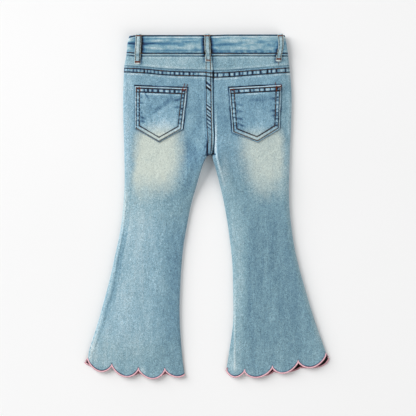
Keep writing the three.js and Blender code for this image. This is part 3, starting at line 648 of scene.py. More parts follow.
# ---------------------------------------------------------------- mesh helpers
def mesh_object(name, points, faces, attributes=None, material=None, sharp=50):
    me = bpy.data.meshes.new(name)
    me.from_pydata((np.asarray(points) * 0.001).tolist(), [], [list(map(int, f)) for f in faces])
    me.update()
    me.polygons.foreach_set("use_smooth", np.ones(len(me.polygons), bool))
    if sharp:
        me.set_sharp_from_angle(angle=math.radians(sharp))
    for key, values in (attributes or {}).items():
        a = me.attributes.new(key, "FLOAT", "POINT")
        a.data.foreach_set("value", np.asarray(values, np.float32).ravel())
    ob = bpy.data.objects.new(name, me)
    bpy.context.scene.collection.objects.link(ob)
    if material:
        me.materials.append(material)
    return ob


def grid_faces(rows, cols, start=0, flip=False):
    i, j = np.meshgrid(np.arange(rows - 1), np.arange(cols - 1), indexing="ij")
    a = start + i * cols + j
    q = np.stack([a, a + cols, a + cols + 1, a + 1], -1).reshape(-1, 4)
    return q[:, ::-1] if flip else q


def rim_faces(rows, cols, top, bottom):
    ring = (
        [(0, j) for j in range(cols - 1)]
        + [(i, cols - 1) for i in range(rows - 1)]
        + [(rows - 1, j) for j in range(cols - 1, 0, -1)]
        + [(i, 0) for i in range(rows - 1, 0, -1)]
    )
    ids = np.array([i * cols + j for i, j in ring])
    nxt = np.roll(ids, -1)
    return np.stack([top + ids, top + nxt, bottom + nxt, bottom + ids], -1)


def shell(name, upper, lower, attributes, material, flip=False):
    """Closed cloth between two grids of points, mm. attributes are grids over the upper points."""
    rows, cols = upper.shape[:2]
    n = rows * cols
    points = np.concatenate([upper.reshape(-1, 3), lower.reshape(-1, 3)])
    faces = np.concatenate(
        [grid_faces(rows, cols, 0), grid_faces(rows, cols, n, True), rim_faces(rows, cols, 0, n)]
    )
    if flip:
        faces = faces[:, ::-1]
    doubled = {k: np.concatenate([a.ravel(), a.ravel()]) for k, a in attributes.items()}
    ob = mesh_object(name, points, faces, doubled, material)
    return ob


# ---------------------------------------------------------------- materials
def linear(c):
    return [((x / 255 + 0.055) / 1.055) ** 2.4 if x > 10.3 else x / 255 / 12.92 for x in c] + [1.0]


class Nodes:
    def __init__(self, name):
        self.mat = bpy.data.materials.new(name)
        self.mat.use_nodes = True
        self.tree = self.mat.node_tree
        self.tree.nodes.clear()

    def add(self, kind, inputs=None, **props):
        n = self.tree.nodes.new(kind)
        for k, val in props.items():
            setattr(n, k, val)
        for k, val in (inputs or {}).items():
            if isinstance(val, bpy.types.NodeSocket):
                self.tree.links.new(val, n.inputs[k])
            else:
                n.inputs[k].default_value = val
        return n

    def math(self, op, a, b=0.0, c=None, clamp=False):
        ins = {0: a, 1: b}
        if c is not None:
            ins[2] = c
        return self.add("ShaderNodeMath", ins, operation=op, use_clamp=clamp).outputs[0]

    def attribute(self, name):
        return self.add("ShaderNodeAttribute", attribute_name=name, attribute_type="GEOMETRY").outputs["Fac"]

    def scaled(self, vector, scale):
        return self.add("ShaderNodeVectorMath", {0: vector, 1: scale}, operation="MULTIPLY").outputs[0]

    def noise(self, vector, scale, detail=3.0, rough=0.55):
        return self.add(
            "ShaderNodeTexNoise", {"Vector": vector, "Scale": scale, "Detail": detail, "Roughness": rough}
        ).outputs["Fac"]

    def ramp(self, fac, stops):
        n = self.add("ShaderNodeValToRGB", {"Fac": fac})
        e = n.color_ramp.elements
        while len(e) > 1:
            e.remove(e[-1])
        e[0].position, e[0].color = stops[0]
        for pos, col in stops[1:]:
            x = e.new(pos)
            x.color = col
        return n.outputs["Color"]

    def mix(self, fac, a, b, kind="MIX"):
        n = self.tree.nodes.new("ShaderNodeMix")
        n.data_type = "RGBA"
        n.blend_type = kind
        for socket, val in ((n.inputs[0], fac), (n.inputs[6], a), (n.inputs[7], b)):
            if isinstance(val, bpy.types.NodeSocket):
                self.tree.links.new(val, socket)
            else:
                socket.default_value = val
        return n.outputs[2]

    def shader(self, color, roughness=0.9, normal=None, sheen=0.0, specular=0.25, metallic=0.0):
        p = self.add("ShaderNodeBsdfPrincipled", {"Base Color": color, "Roughness": roughness})
        p.inputs["Specular IOR Level"].default_value = specular
        p.inputs["Metallic"].default_value = metallic
        if sheen:
            p.inputs["Sheen Weight"].default_value = sheen
            p.inputs["Sheen Roughness"].default_value = 0.6
        if normal is not None:
            self.tree.links.new(normal, p.inputs["Normal"])
        out = self.add("ShaderNodeOutputMaterial")
        self.tree.links.new(p.outputs[0], out.inputs["Surface"])
        return self.mat


def denim(name, grain=1.0, inside_out=False, dye=(0.90, 1.02, 1.18, 1.0)):
    n = Nodes(name)
    at = n.add("ShaderNodeTexCoord").outputs["Object"]
    # this attribute carries worn colour and also painted shade and light
    wash_and_shade = n.attribute("wash_and_shade")
    cream = n.attribute("cream")
    # mottled grain, slubs running down the cloth, and soft clouds
    warp = n.add("ShaderNodeTexNoise", {"Vector": at, "Scale": 150.0, "Detail": 1.0}).outputs["Color"]
    bent = n.add("ShaderNodeVectorMath", {0: n.scaled(warp, (0.006, 0.006, 0.0)), 1: at}, operation="ADD").outputs[0]
    worm = n.noise(n.scaled(bent, (1.0, 0.75, 1.0)), 400, 2.0, 0.55)
    line = n.math("ABSOLUTE", n.math("SUBTRACT", worm, 0.5))
    line = n.math("SUBTRACT", 1.0, n.math("MULTIPLY", line, 16.0), clamp=True)
    fine = n.noise(n.scaled(at, (1.0, 0.78, 1.0)), 430, 3.0, 0.62)
    speck = n.noise(n.scaled(at, (1.0, 0.85, 1.0)), 900, 2.0, 0.62)
    slub = n.noise(n.scaled(at, (1.0, 0.07, 1.0)), 520, 2.0, 0.5)
    cloud = n.noise(at, 42, 3.0, 0.5)
    total = n.math("MULTIPLY_ADD", n.math("SUBTRACT", fine, 0.5), 0.34 * grain, wash_and_shade)
    total = n.math("MULTIPLY_ADD", n.math("SUBTRACT", speck, 0.5), 0.26 * grain, total)
    total = n.math("MULTIPLY_ADD", n.math("SUBTRACT", slub, 0.5), 0.34 * grain, total)
    total = n.math("MULTIPLY_ADD", line, -0.20 * grain, total)
    total = n.math("MULTIPLY_ADD", n.math("SUBTRACT", cloud, 0.5), 0.12 * grain, total)
    # twill: diagonal ribs of about 0.7 mm, each made of short floats
    rib = n.math("SINE", n.add("ShaderNodeVectorMath", {0: at, 1: (7600.0, 5200.0, 0.0)}, operation="DOT_PRODUCT").outputs["Value"])
    pick = n.math("SINE", n.add("ShaderNodeVectorMath", {0: at, 1: (-2300.0, 9900.0, 0.0)}, operation="DOT_PRODUCT").outputs["Value"])
    weave = n.math("MULTIPLY", n.math("MULTIPLY_ADD", rib, 0.5, 0.5), n.math("MULTIPLY_ADD", pick, 0.3, 0.7))
    total = n.math("MULTIPLY_ADD", n.math("SUBTRACT", weave, 0.35), 0.30, total)
    colour = n.ramp(
        n.math("MULTIPLY_ADD", total, 0.4, 0.6),
        [
            (0.00, linear((13, 13, 15))),
            (0.20, linear((40, 64, 94))),
            (0.36, linear((79, 113, 136))),
            (0.488, linear((107, 143, 161))),
            (0.60, linear((132, 168, 182))),
            (0.712, linear((156, 187, 198))),
            (0.84, linear((186, 208, 214))),
            (1.00, linear((216, 228, 230))),
        ],
    )
    colour = n.mix(n.attribute("blue"), colour, dye, "MULTIPLY")
    creamy = n.math("MULTIPLY_ADD", n.math("SUBTRACT", fine, 0.5), 0.55, cream)
    creamy = n.math("MULTIPLY", creamy, n.math("GREATER_THAN", cream, 0.02), clamp=True)
    colour = n.mix(creamy, colour, linear((207, 217, 208)))
    # grain shows less where the cloth is faded
    calm = n.math("MULTIPLY_ADD", creamy, -0.45, 1.0)
    both = n.math("MULTIPLY_ADD", n.math("SUBTRACT", fine, 0.5), 0.36, n.math("SUBTRACT", speck, 0.5))
    grey = n.math("MULTIPLY_ADD", n.math("MULTIPLY", both, calm), 1.7 * grain, 0.93)
    colour = n.mix(1.0, colour, grey, "MULTIPLY")
    if inside_out:
        colour = n.mix(0.55, colour, linear((176, 190, 198)))
    height = n.math("ADD", n.math("MULTIPLY", weave, 0.00009), n.math("MULTIPLY", fine, 0.00042))
    height = n.math("MULTIPLY_ADD", slub, 0.00016, height)
    height = n.math("MULTIPLY_ADD", worm, 0.0015, height)
    bump = n.add("ShaderNodeBump", {"Strength": 0.8, "Distance": 1.0, "Height": height}).outputs["Normal"]
    return n.shader(colour, 0.93, bump, sheen=0.12, specular=0.18)


def thread(name, dark, light, key="tint", rough=0.65):
    n = Nodes(name)
    at = n.add("ShaderNodeTexCoord").outputs["Object"]
    tint = n.attribute(key)
    fuzz = n.noise(at, 2600, 2.0, 0.6)
    fac = n.math("MULTIPLY_ADD", n.math("SUBTRACT", fuzz, 0.5), 0.7, tint, clamp=True)
    colour = n.mix(fac, linear(dark), linear(light))
    twist = n.math("SINE", n.add("ShaderNodeVectorMath", {0: at, 1: (9000.0, 9000.0, 9000.0)}, operation="DOT_PRODUCT").outputs["Value"])
    bump = n.add("ShaderNodeBump", {"Strength": 0.5, "Distance": 0.0001, "Height": twist}).outputs["Normal"]
    return n.shader(colour, rough, bump, sheen=0.03, specular=0.14)


def metal(name):
    n = Nodes(name)
    at = n.add("ShaderNodeTexCoord").outputs["Object"]
    worn = n.noise(at, 700, 4.0, 0.6)
    colour = n.ramp(worn, [(0.3, linear((88, 66, 46))), (0.6, linear((150, 118, 84))), (0.8, linear((182, 152, 112)))])
    rough = n.math("MULTIPLY_ADD", worn, 0.3, 0.25)
    bump = n.add("ShaderNodeBump", {"Strength": 0.3, "Distance": 0.0001, "Height": worn}).outputs["Normal"]
    return n.shader(colour, rough, bump, specular=0.5, metallic=0.9)


def floor_material():
    n = Nodes("floor")
    at = n.add("ShaderNodeTexCoord").outputs["Object"]
    cloud = n.noise(at, 3, 2.0, 0.5)
    colour = n.mix(cloud, linear((243, 243, 243)), linear((247, 247, 247)))
    return n.shader(colour, 0.95, None, specular=0.0)


DENIM = denim("denim")
DENIM_TRIM = denim("denim_trim", 0.7)
DENIM_BAND = denim("denim_band", 0.6, dye=(0.67, 0.98, 1.16, 1.0))
SEAM_THREAD = thread("seam_thread", (13, 11, 8), (128, 100, 50), rough=0.85)
TACK_THREAD = thread("tack_thread", (34, 12, 4), (142, 56, 14), rough=0.85)
PINK = thread("edging_thread", (140, 46, 68), (254, 208, 217), rough=0.7)
METAL = metal("button_metal")

pieces = []


def keep(ob, slot, *nodes):
    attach(ob, "root")
    if nodes:
        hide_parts(*nodes)
    pieces.append(ob)
    return ob


# ---------------------------------------------------------------- leg panels
def q_columns(side, layer, count, fold_steps):
    """Columns of a leg panel, as (kind, value): fold angles at each end and shares between, one at each cusp."""
    hem = HEMS[side, layer]
    width = abs(inner_edge(side, layer, np.array(365.0)) - outer_edge(side, np.array(365.0))) * UNIT
    s0 = FOLD / width
    cusps = [s for s, _ in hem if s0 * 1.3 < s < 1 - s0 * 1.3]
    stops = [0.0] + [(c - s0) / (1 - 2 * s0) for c in cusps] + [1.0]
    q = []
    for a, b in zip(stops[:-1], stops[1:]):
        m = max(3, int(round(count * (b - a))))
        # closer together at the cusps
        t = np.linspace(0, 1, m + 1)[:-1]
        t = t - 0.10 * np.sin(2 * np.pi * t) / (2 * np.pi) * 2
        q += list(a + (b - a) * t)
    q.append(1.0)
    q = np.array(q)
    if layer == "back":
        # closer together at the centre seam
        near = {"left": 10.5, "right": 5.0}[side] * UNIT / width
        q = np.concatenate([q[q < 1 - near - 0.004], np.linspace(1 - near, 1, int(near * width / 0.8) + 1)])
    ang = np.linspace(0, math.pi / 2, fold_steps + 1)[:-1]
    return ang, q


def leg_grid(side, layer, heights, top_line, count, fold_steps, hem_rows):
    ang, q = q_columns(side, layer, count, fold_steps)
    cols = 2 * len(ang) + len(q)
    us, vs = [], []
    v_line = np.full(cols, 68.0)

    def place(v):
        """u for every column, where each has its own v."""
        uo, ui = outer_edge(side, v), inner_edge(side, layer, v)
        width = np.abs(ui - uo) * UNIT
        n = len(ang)
        s = np.empty(cols)
        s[:n] = FOLD * (1 - np.cos(ang)) / width[:n]
        s0 = FOLD / width[n : n + len(q)]
        s[n : n + len(q)] = s0 + (1 - 2 * s0) * q
        s[n + len(q) :] = 1 - FOLD * (1 - np.cos(ang[::-1])) / width[n + len(q) :]
        return s, uo + (ui - uo) * s

    if top_line is not None:
        for _ in range(4):
            s, u = place(v_line)
            v_line = top_line(u)
    first = 84.0
    for h in heights:
        if top_line is not None and h < first:
            t = (h - heights[0]) / (first - heights[0])
            v = mix(v_line, first, t)
        else:
            v = np.full(cols, float(h))
        s, u = place(v)
        us.append(u)
        vs.append(v)
    s, _ = place(np.full(cols, 365.0))
    last = float(heights[-1])
    hem = hem_at(side, layer, s)
    out = -1 if side == "left" else 1
    for k in range(1, hem_rows + 1):
        t = 1 - (1 - k / hem_rows) ** 1.5
        v = mix(last, hem, t)
        _, u = place(v)
        if layer == "front":
            spread = FLARE[side] * smooth((v - HEMS[side, layer][0][1]) / 5.0) * (1 - smooth(s / 0.13))
            u = u + out * spread
        us.append(u)
        vs.append(v)
    return np.array(us), np.array(vs)


hem_lines = {}
for side in ("left", "right"):
    heights = np.concatenate([np.linspace(67, 75.5, 20)[:-1], np.linspace(75.5, 84, 12)[:-1], np.linspace(84, 160, 106)[:-1], np.linspace(160, 345, 168)])
    u, v = leg_grid(side, "back", heights, lambda x: yoke_line(x) + 0.05, 96, 8, 30)
    z = back_z(side, u, v)
    upper = np.stack([X(u), Y(v), z], -1)
    # the inner face, drawn in from the outer one and free of its fine puckers
    zi = np.minimum(back_z(side, u, v, False) - 0.4, z) - WALL
    uo, ui = outer_edge(side, v), inner_edge(side, "back", v)
    toward = 1 if side == "left" else -1
    e_out, e_in = np.abs(u - uo) * UNIT, np.abs(u - ui) * UNIT
    pull_out = WALL * np.clip(1 - e_out / FOLD, 0, 1) ** 1.5
    pull_in = WALL * np.clip(1 - e_in / FOLD, 0, 1) ** 1.5 * inner_fold(v)
    half = base(v) + mix(HALF, 3.0, smooth((v - 325) / 45)) + inner_lift(v, e_in)
    zi = np.maximum(zi, mix(half + 0.02, zi, np.clip(np.minimum(e_out, np.where(inner_fold(v) > 0.5, e_in, 99)) / 2.5, 0, 1)))
    lower = np.stack([X(u) + toward * (pull_out - pull_in), Y(v), zi], -1)
    wash_and_shade = back_wash_and_shade(side, u, v)
    over_hem = v[-1][None] - v
    wash_and_shade -= 1.5 * np.exp(-((over_hem / 0.8) ** 2)) * (0.75 + 0.5 * noise(u / 7, 0 * v, 65))
    attrs = {"wash_and_shade": wash_and_shade, "cream": cream_at(u, v), "blue": hue_at(u, v, cream_at(u, v))}
    ob = shell("back_" + side, upper, lower, attrs, DENIM, flip=(side == "right"))
    keep(ob, "denim", "back_panel_" + side)
    hem_lines[side, "back"] = upper[-1], lower[-1]

# ---------------------------------------------------------------- front panels, lying under the back
FRONT_CREASES = [
    ([(202, 140, 0), (192, 158, 0.5), (180, 176, 0.4), (170, 190, 0)], 3.0),
    ([(214, 138, 0), (224, 158, 0.5), (238, 176, 0.4), (248, 190, 0)], 3.0),
    ([(130, 214, 0), (155, 216, 0.4), (182, 215, 0)], 1.5),
    ([(232, 214, 0), (258, 216, 0.4), (284, 215, 0)], 1.5),
    ([(140, 150, 0), (158, 146, 0.35), (180, 152, 0)], 3.0),
    ([(236, 150, 0), (256, 146, 0.35), (276, 152, 0)], 3.0),
    ([(150, 230, 0), (143, 280, 0.35), (134, 335, 0)], 4.0),
    ([(262, 230, 0), (270, 280, 0.35), (282, 335, 0)], 4.0),
]


def front_z(side, u, v, relief=True):
    """Height of the front panels' outer face, which is their underside, mm."""
    uo, ui = outer_edge(side, v), inner_edge(side, "front", v)
    e_out = np.maximum(np.abs(u - uo) * UNIT, 0)
    e_in = np.maximum(np.abs(u - ui) * UNIT, 0)
    half = mix(HALF, 3.0, smooth((v - 325) / 45)) + inner_lift(v, e_in) - 0.1
    round_out = np.sqrt(np.maximum(1 - (1 - np.clip(e_out / FOLD, 0, 1)) ** 2, 0))
    round_in = np.sqrt(np.maximum(1 - (1 - np.clip(e_in / FOLD, 0, 1)) ** 2, 0))
    f = inner_fold(v)
    r = round_out * (1 - f + f * round_in)
    up = 0.02 + 0 * u
    if relief:
        for points, width in FRONT_CREASES:
            up = up + ridge(u, v, points, width)
        up = up + 0.12 + 0.1 * noise(u / 9, v / 14, 71)
        up = np.maximum(up, 0.02)
    return base(v) + half - (half - up) * r


for side in ("left", "right"):
    heights = np.concatenate([np.linspace(56, 84, 14)[:-1], np.linspace(84, 160, 40)[:-1], np.linspace(160, 345, 86)])
    u, v = leg_grid(side, "front", heights, None, 54, 6, 20)
    z = front_z(side, u, v)
    # past its cusps the front hem lies flat on the surface
    outer = np.stack([X(u), Y(v), z], -1)
    uo, ui = outer_edge(side, v), inner_edge(side, "front", v)
    e_out, e_in = np.abs(u - uo) * UNIT, np.abs(u - ui) * UNIT
    toward = 1 if side == "left" else -1
    pull_out = WALL * np.clip(1 - e_out / FOLD, 0, 1) ** 1.5
    pull_in = WALL * np.clip(1 - e_in / FOLD, 0, 1) ** 1.5 * inner_fold(v)
    half = base(v) + mix(HALF, 3.0, smooth((v - 325) / 45)) + inner_lift(v, e_in) - 0.1
    zi = np.minimum(z + WALL, np.maximum(half - 0.02, z + 0.02))
    zi = mix(np.minimum(zi, half - 0.02), z + WALL, np.clip(np.minimum(e_out, np.where(inner_fold(v) > 0.5, e_in, 99)) / 2.5, 0, 1))
    inner = np.stack([X(u) + toward * (pull_out - pull_in), Y(v), zi], -1)
    front_wash_and_shade = (
        0.1 + 0.25 * np.exp(-(((v - 150) / 40) ** 2) - (((np.abs(u - 207) - 52) / 16) ** 2))
        + 0.16 * noise(u / 7, v / 30, 81) + 0.1 * noise(u / 3, v / 14, 82)
    )
    # painted shade: the front hem, seen through the back's scallops, is made nearly black as the shadowed inside of the
    # opening
    front_wash_and_shade = front_wash_and_shade - smooth((v - 352) / 5) * 2.2
    front_cream = 0.6 * np.exp(-(((v - 150) / 34) ** 2) - (((np.abs(u - 207) - 52) / 15) ** 2))
    ob = shell("front_" + side, inner, outer, {"wash_and_shade": front_wash_and_shade, "cream": front_cream}, DENIM, flip=(side == "right"))
    keep(ob, "denim", "front_panel_" + side)
    hem_lines[side, "front"] = inner[-1], outer[-1]


# ---------------------------------------------------------------- yokes
def yoke_z(side, u, v, relief=True):
    """Height of the yoke's outer face, mm. It runs under the waistband above and under the felled seam below."""
    uo = outer_edge(side, v)
    e_out = np.maximum(np.abs(u - uo) * UNIT, 0)
    r = np.sqrt(np.maximum(1 - (1 - np.clip(e_out / FOLD, 0, 1)) ** 2, 0))
    full = 7.5 + crown(side, u, v)
    if relief:
        full = full + 0.22 * noise(u / 11, v / 8, 91) + 0.10 * noise(u / 4, v / 4, 92)
        d = yoke_line(u) - v
        full = full - 0.12 * np.exp(-(((d - 0.2) / 1.3) ** 2))
        full = full - 0.25 * np.exp(-(((v - 56.2) / 1.0) ** 2))
        full = full + 0.2 * bars(u, [129, 147, 158, 171, 186, 198, 219, 232, 246, 257, 268, 286], 2.6) * np.exp(-(((v - 58.5) / 2.2) ** 2))
        c = centre_back(v)
        if side == "left":
            w = c - u
            band = smooth((7.9 - w) / 0.9)
            full = full + 0.8 * band - 0.3 * np.exp(-(((w - 6.6) / 0.5) ** 2)) - 0.3 * np.exp(-(((w - 2.2) / 0.5) ** 2))
        else:
            w = u - c
            full = full - 0.7 * smooth((1.6 - w) / 1.6)
    return base(v) + HALF + (full - HALF) * r


for side in ("left", "right"):
    n_fold, n_mid = 8, 96
    ang = np.linspace(0, math.pi / 2, n_fold + 1)[:-1]
    rows = []
    for k in range(22):
        t = k / 21
        cols = n_fold + n_mid
        v = np.full(cols, 60.0)
        for _ in range(4):
            uo = outer_edge(side, v)
            ui = centre_back(v) + (-0.08 if side == "left" else 0.08)
            width = np.abs(ui - uo) * UNIT
            s0 = FOLD / width
            s = np.concatenate([FOLD * (1 - np.cos(ang)) / width[:n_fold], (s0 + (1 - s0) * np.linspace(0, 1, cols))[n_fold:][:n_mid] * 0 + np.linspace(0, 1, n_mid) * (1 - s0[n_fold:]) + s0[n_fold:]])
            u = uo + (ui - uo) * s
            v = mix(54.2, yoke_line(u) + 1.2, t)
        rows.append((u, v))
    u = np.array([r[0] for r in rows])
    v = np.array([r[1] for r in rows])
    z = yoke_z(side, u, v) - 1.15 * smooth((v - yoke_line(u) + 0.3) / 0.8)
    zi = np.maximum(z - WALL, base(v) + HALF + 0.02 + 0 * z)
    e_out = np.abs(u - outer_edge(side, v)) * UNIT
    pull = WALL * np.clip(1 - e_out / FOLD, 0, 1) ** 1.5 * (1 if side == "left" else -1)
    w = blobs(u, v, [(158, 62, 44, 8, 0.34), (190, 64, 14, 6, 0.08), (250, 62, 44, 8, 0.14), (128, 62, 5, 8, -0.05), (286, 62, 6, 8, -0.05)])
    # painted shadow under the waistband's lower edge, deeper beside the belt loops, and a painted light line just below
    # it
    below = 0.35 + 0.5 * smooth((u - 142) / 10) + 0.55 * smooth((u - 208) / 10) - 1.0 * smooth((u - 283) / 3)
    for name, line, lw in LOOPS:
        below = below + 0.8 * np.exp(-(((np.abs(u - line[2][0]) - lw / 2 - 2) / 3.0) ** 2))
    w += -1.15 * below * np.exp(-(((v - band_bottom(u) - mix(0.6, 0.15, smooth((u - 206) / 6))) / 0.55) ** 2))
    w += 0.40 * np.exp(-(((v - band_bottom(u) - 1.9) / 0.7) ** 2)) * smooth((u - 136) / 12)
    # painted shadow just above the edge of the felled seam under the yoke, with a paler line above it
    w += -1.0 * np.exp(-(((yoke_line(u) - v - 0.1) / 0.65) ** 2)) * (0.75 + 0.5 * noise(u / 9, 0 * v, 95)) + 0.30 * np.exp(-(((yoke_line(u) - v - 2.0) / 1.1) ** 2))
    w += 0.12 * noise(u / 7, v / 6, 93) + 0.08 * noise(u / 2.2, v / 2.6, 94)
    # painted shadow of the belt loops on the yoke
    w -= 0.9 * loop_shade(u, v)
    c = centre_back(v)
    x = c - u
    if side == "left":
        w += 0.12 * smooth((8 - x) / 1.0) + 0.4 * np.exp(-(((x - 0.8) / 0.6) ** 2)) - 0.25 * np.exp(-(((x - 8.4) / 0.8) ** 2))
        w += 0.3 * np.exp(-(((u - 204) / 2.4) ** 2)) * np.exp(-(((v - 67) / 2.5) ** 2))
    else:
        # painted shadow of the felled edge on the right yoke
        w -= 0.6 * np.exp(-((x / 0.7) ** 2))
        w -= 0.25 * np.exp(-(((u - 215) / 2.6) ** 2))
    upper = np.stack([X(u), Y(v), z], -1)
    lower = np.stack([X(u) + pull, Y(v), zi], -1)
    ob = shell("yoke_" + side + "_cloth", upper, lower, {"wash_and_shade": w, "cream": 0 * w, "blue": hue_at(u, v, 0 * w, 0.15)}, DENIM, flip=(side == "right"))
    keep(ob, "denim", "yoke_" + side)


# ---------------------------------------------------------------- waistband
BAND = 2.3
BAND_LINES = [  # gathers of the elastic: line of (u, v, strength in mm), width
    ([(125, 43.6, -0.3), (134, 43.4, -0.7), (142, 43.6, -0.9), (152, 43.9, -0.9), (161, 43.5, -0.6), (170, 44.0, -0.35), (183, 44.4, -0.25), (200, 43.8, -0.15), (205, 44, 0)], 1.0),
    ([(143, 40.6, 0), (152, 41.2, 0.5), (164, 40.8, 0.4), (180, 41.4, 0.3), (198, 41, 0)], 1.4),
    ([(143, 47.6, 0), (153, 48.4, 0.5), (166, 48.2, 0.3), (180, 49, 0.3), (199, 48.2, 0)], 1.8),
    ([(212, 45.9, -0.2), (221, 45.6, -0.6), (233, 45.2, -0.5), (243, 45.6, -0.25), (252, 46, 0)], 1.2),
    ([(214, 41.8, 0), (226, 41.2, 0.4), (240, 41, 0.3), (262, 41.6, 0)], 1.6),
    ([(220, 49.4, 0), (236, 49, 0.35), (252, 48.2, 0.3), (272, 48.6, 0)], 1.8),
    ([(252, 44, 0), (262, 45.4, -0.3), (272, 44.4, -0.4), (288, 44, -0.2)], 1.2),
    ([(147.5, 37, 0), (148.5, 40, -0.35), (147.2, 43, 0)], 1.1),
    ([(157.5, 46, 0), (158.5, 49, -0.35), (157.6, 52, 0)], 1.0),
    ([(165.8, 44.5, 0), (166.4, 48, -0.5), (165.8, 52, 0)], 0.9),
    ([(175, 46, 0), (174.6, 49, -0.3), (175.6, 52, 0)], 1.0),
    ([(186.4, 45, 0), (186.8, 48.5, -0.45), (186.2, 52, 0)], 0.9),
    ([(195.6, 44.5, 0), (195.2, 48, -0.45), (195.8, 52, 0)], 0.9),
    ([(201, 37, 0), (202.4, 42, -0.5), (202.6, 49, -0.6), (202, 53, 0)], 1.6),
    ([(213, 37, 0), (212.6, 43, -0.4), (213.2, 49, -0.8), (214, 53, 0)], 1.5),
    ([(218, 46.6, 0), (219.4, 49.2, -0.4), (218.8, 52, 0)], 1.1),
    ([(229, 46, 0), (230, 49, -0.3), (229.4, 52, 0)], 1.0),
    ([(240.6, 47, 0), (241.2, 50, -0.4), (240.6, 52.4, 0)], 1.2),
    ([(249, 45, 0), (248.6, 49, -0.45), (249.4, 52.4, 0)], 1.0),
    ([(258.6, 47.5, 0), (259, 50, -0.4), (258.6, 52.4, 0)], 1.0),
    ([(268, 44, 0), (267.4, 48, -0.35), (268, 52, 0)], 1.0),
    ([(143.6, 36, 0), (143.8, 42, -0.6), (143.6, 50, -0.6), (143.4, 53, 0)], 1.3),
    ([(275, 37, 0), (274.6, 44, -0.4), (274.6, 51, -0.5), (274, 53, 0)], 1.3),
]


def band_full(u, v):
    """Height of the back waistband's outer face above the base, before its folds, mm."""
    z = 10.0 + 0 * u
    e = np.minimum(u - left_outer(v), right_outer(v) - u)
    z += 0.9 * (1 - (1 - np.clip(e / 16, 0, 1)) ** 2)
    z += 0.8 * np.sin(np.pi * np.clip((v - 35) / 20.6, 0, 1)) ** 0.7
    for points, width in BAND_LINES:
        z += ridge(u, v, points, width)
    z += 0.22 * noise(u / 7, v / 3, 101) + 0.14 * noise(u / 3, v / 5, 102)
    z -= 0.4 * np.exp(-(((v - band_stitch(u)) / 0.7) ** 2))
    z -= 0.35 * np.exp(-(((v - band_stitch_top(u)) / 0.5) ** 2))
    return z


def band_z(u, v):
    e = np.maximum(np.minimum(u - left_outer(v), right_outer(v) - u) * UNIT, 0)
    r = np.sqrt(np.maximum(1 - (1 - np.clip(e / FOLD, 0, 1)) ** 2, 0))
    half = 4.6
    return LIFT + half + (band_full(u, v) - half) * r


# wash of the waistband, with painted shade and light
def band_wash_and_shade(u, v):
    w = -0.03 + 0.08 * smooth((u - 208) / 10)
    w += blobs(u, v, [(127, 40.4, 6, 2.2, 0.62), (126, 47.5, 5, 3, 0.22), (215.5, 52.5, 5, 2.6, -0.50), (223.5, 53.2, 5, 1.8, -0.35), (204, 54, 2.2, 2.6, -0.5), (156, 41.3, 5, 1.6, 0.45), (176, 40, 24, 2.6, 0.06), (186, 48, 24, 2.6, 0.22), (156, 48, 9, 2.4, 0.24), (232, 39.4, 24, 2.6, 0.12), (258, 44, 16, 5, 0.10), (268, 40, 8, 5, 0.10)])
    # the darkenings at u 143 to 147 and 202 to 204 are painted shadow of the belt loops
    w += blobs(u, v, [(147, 38, 4, 3.0, -0.30), (150, 43.9, 13, 1.2, -0.50), (131, 43.7, 5, 1.2, -0.55), (145.4, 44.2, 2.4, 1.8, -0.45), (166, 38.2, 8, 1.0, -0.25), (172, 43.9, 12, 1.2, -0.28), (190, 42.0, 10, 1.1, -0.22), (226, 44.6, 13, 1.3, -0.35), (258, 43.0, 10, 1.1, -0.16), (214, 50.6, 3, 2.2, -0.5), (143.8, 51, 3, 3, -0.4), (202.5, 44, 1.6, 9, -0.3), (262, 51.7, 2.2, 1.1, -0.9), (255.5, 51.9, 1.6, 1.1, -0.9), (248.5, 51.7, 2, 1.1, -0.9), (242, 52, 1.8, 1.1, -0.9), (236.5, 51.9, 1.6, 1.1, -0.8), (229, 51.9, 1.8, 1.2, -0.7), (221, 52, 1.6, 1.1, -0.6), (214.5, 51.4, 2.2, 2.0, -0.9), (270, 51.8, 1.6, 1.1, -0.6), (244, 48.3, 32, 1.2, 0.26), (240, 51.2, 34, 0.9, -0.30), (156, 51.4, 3, 1.2, -0.25), (166, 51.2, 3, 1.2, -0.3), (187, 51.0, 3, 1.4, -0.25), (195, 50.8, 3, 1.6, -0.25), (174, 50.6, 30, 1.2, -0.16)])
    for points, width in BAND_LINES:
        w += 0.40 * ridge(u, v, points, width)
    w += 0.32 * noise(u / 9, v / 1.5, 111) + 0.20 * noise(u / 4, v / 1.1, 112) + 0.10 * noise(u / 2.2, v / 3.2, 113)
    w = np.where(w < 0, -0.8 * (1 - np.exp(np.minimum(w, 0) / 0.8)), w)
    # painted shadow of the belt loops on the waistband
    w -= 1.15 * loop_shade(u, v)
    # painted shade in the crease beside the left belt loop
    w = unfaded_and_shaded(w, ridge(u, v, [(125.4, 43.0, 0.3), (129, 43.5, 0.75), (134.6, 44.3, 0.8)], 1.0) + ridge(u, v, [(141, 44.8, 0.85), (145, 44.5, 0.75), (151, 43.8, 0.4), (159, 43.0, 0)], 1.0), -1.3)
    # painted highlight along the waistband's folded lower edge
    w += 0.75 * np.exp(-(((v - band_bottom(u) + 0.75) / 0.42) ** 2))
    w += 1.0 * np.exp(-(((v - band_stitch_top(u) - 1.5) / 0.55) ** 2)) + 0.2 * np.exp(-(((v - band_stitch(u) + 1.3) / 0.4) ** 2))
    # stitch rows of the waistband: unfaded cloth with painted groove shade
    w = unfaded_and_shaded(w, 1.0 * np.exp(-(((v - band_stitch(u)) / 0.6) ** 2)))
    w = unfaded_and_shaded(w, 0.9 * np.exp(-(((v - band_stitch_top(u)) / 0.62) ** 2)))
    return w


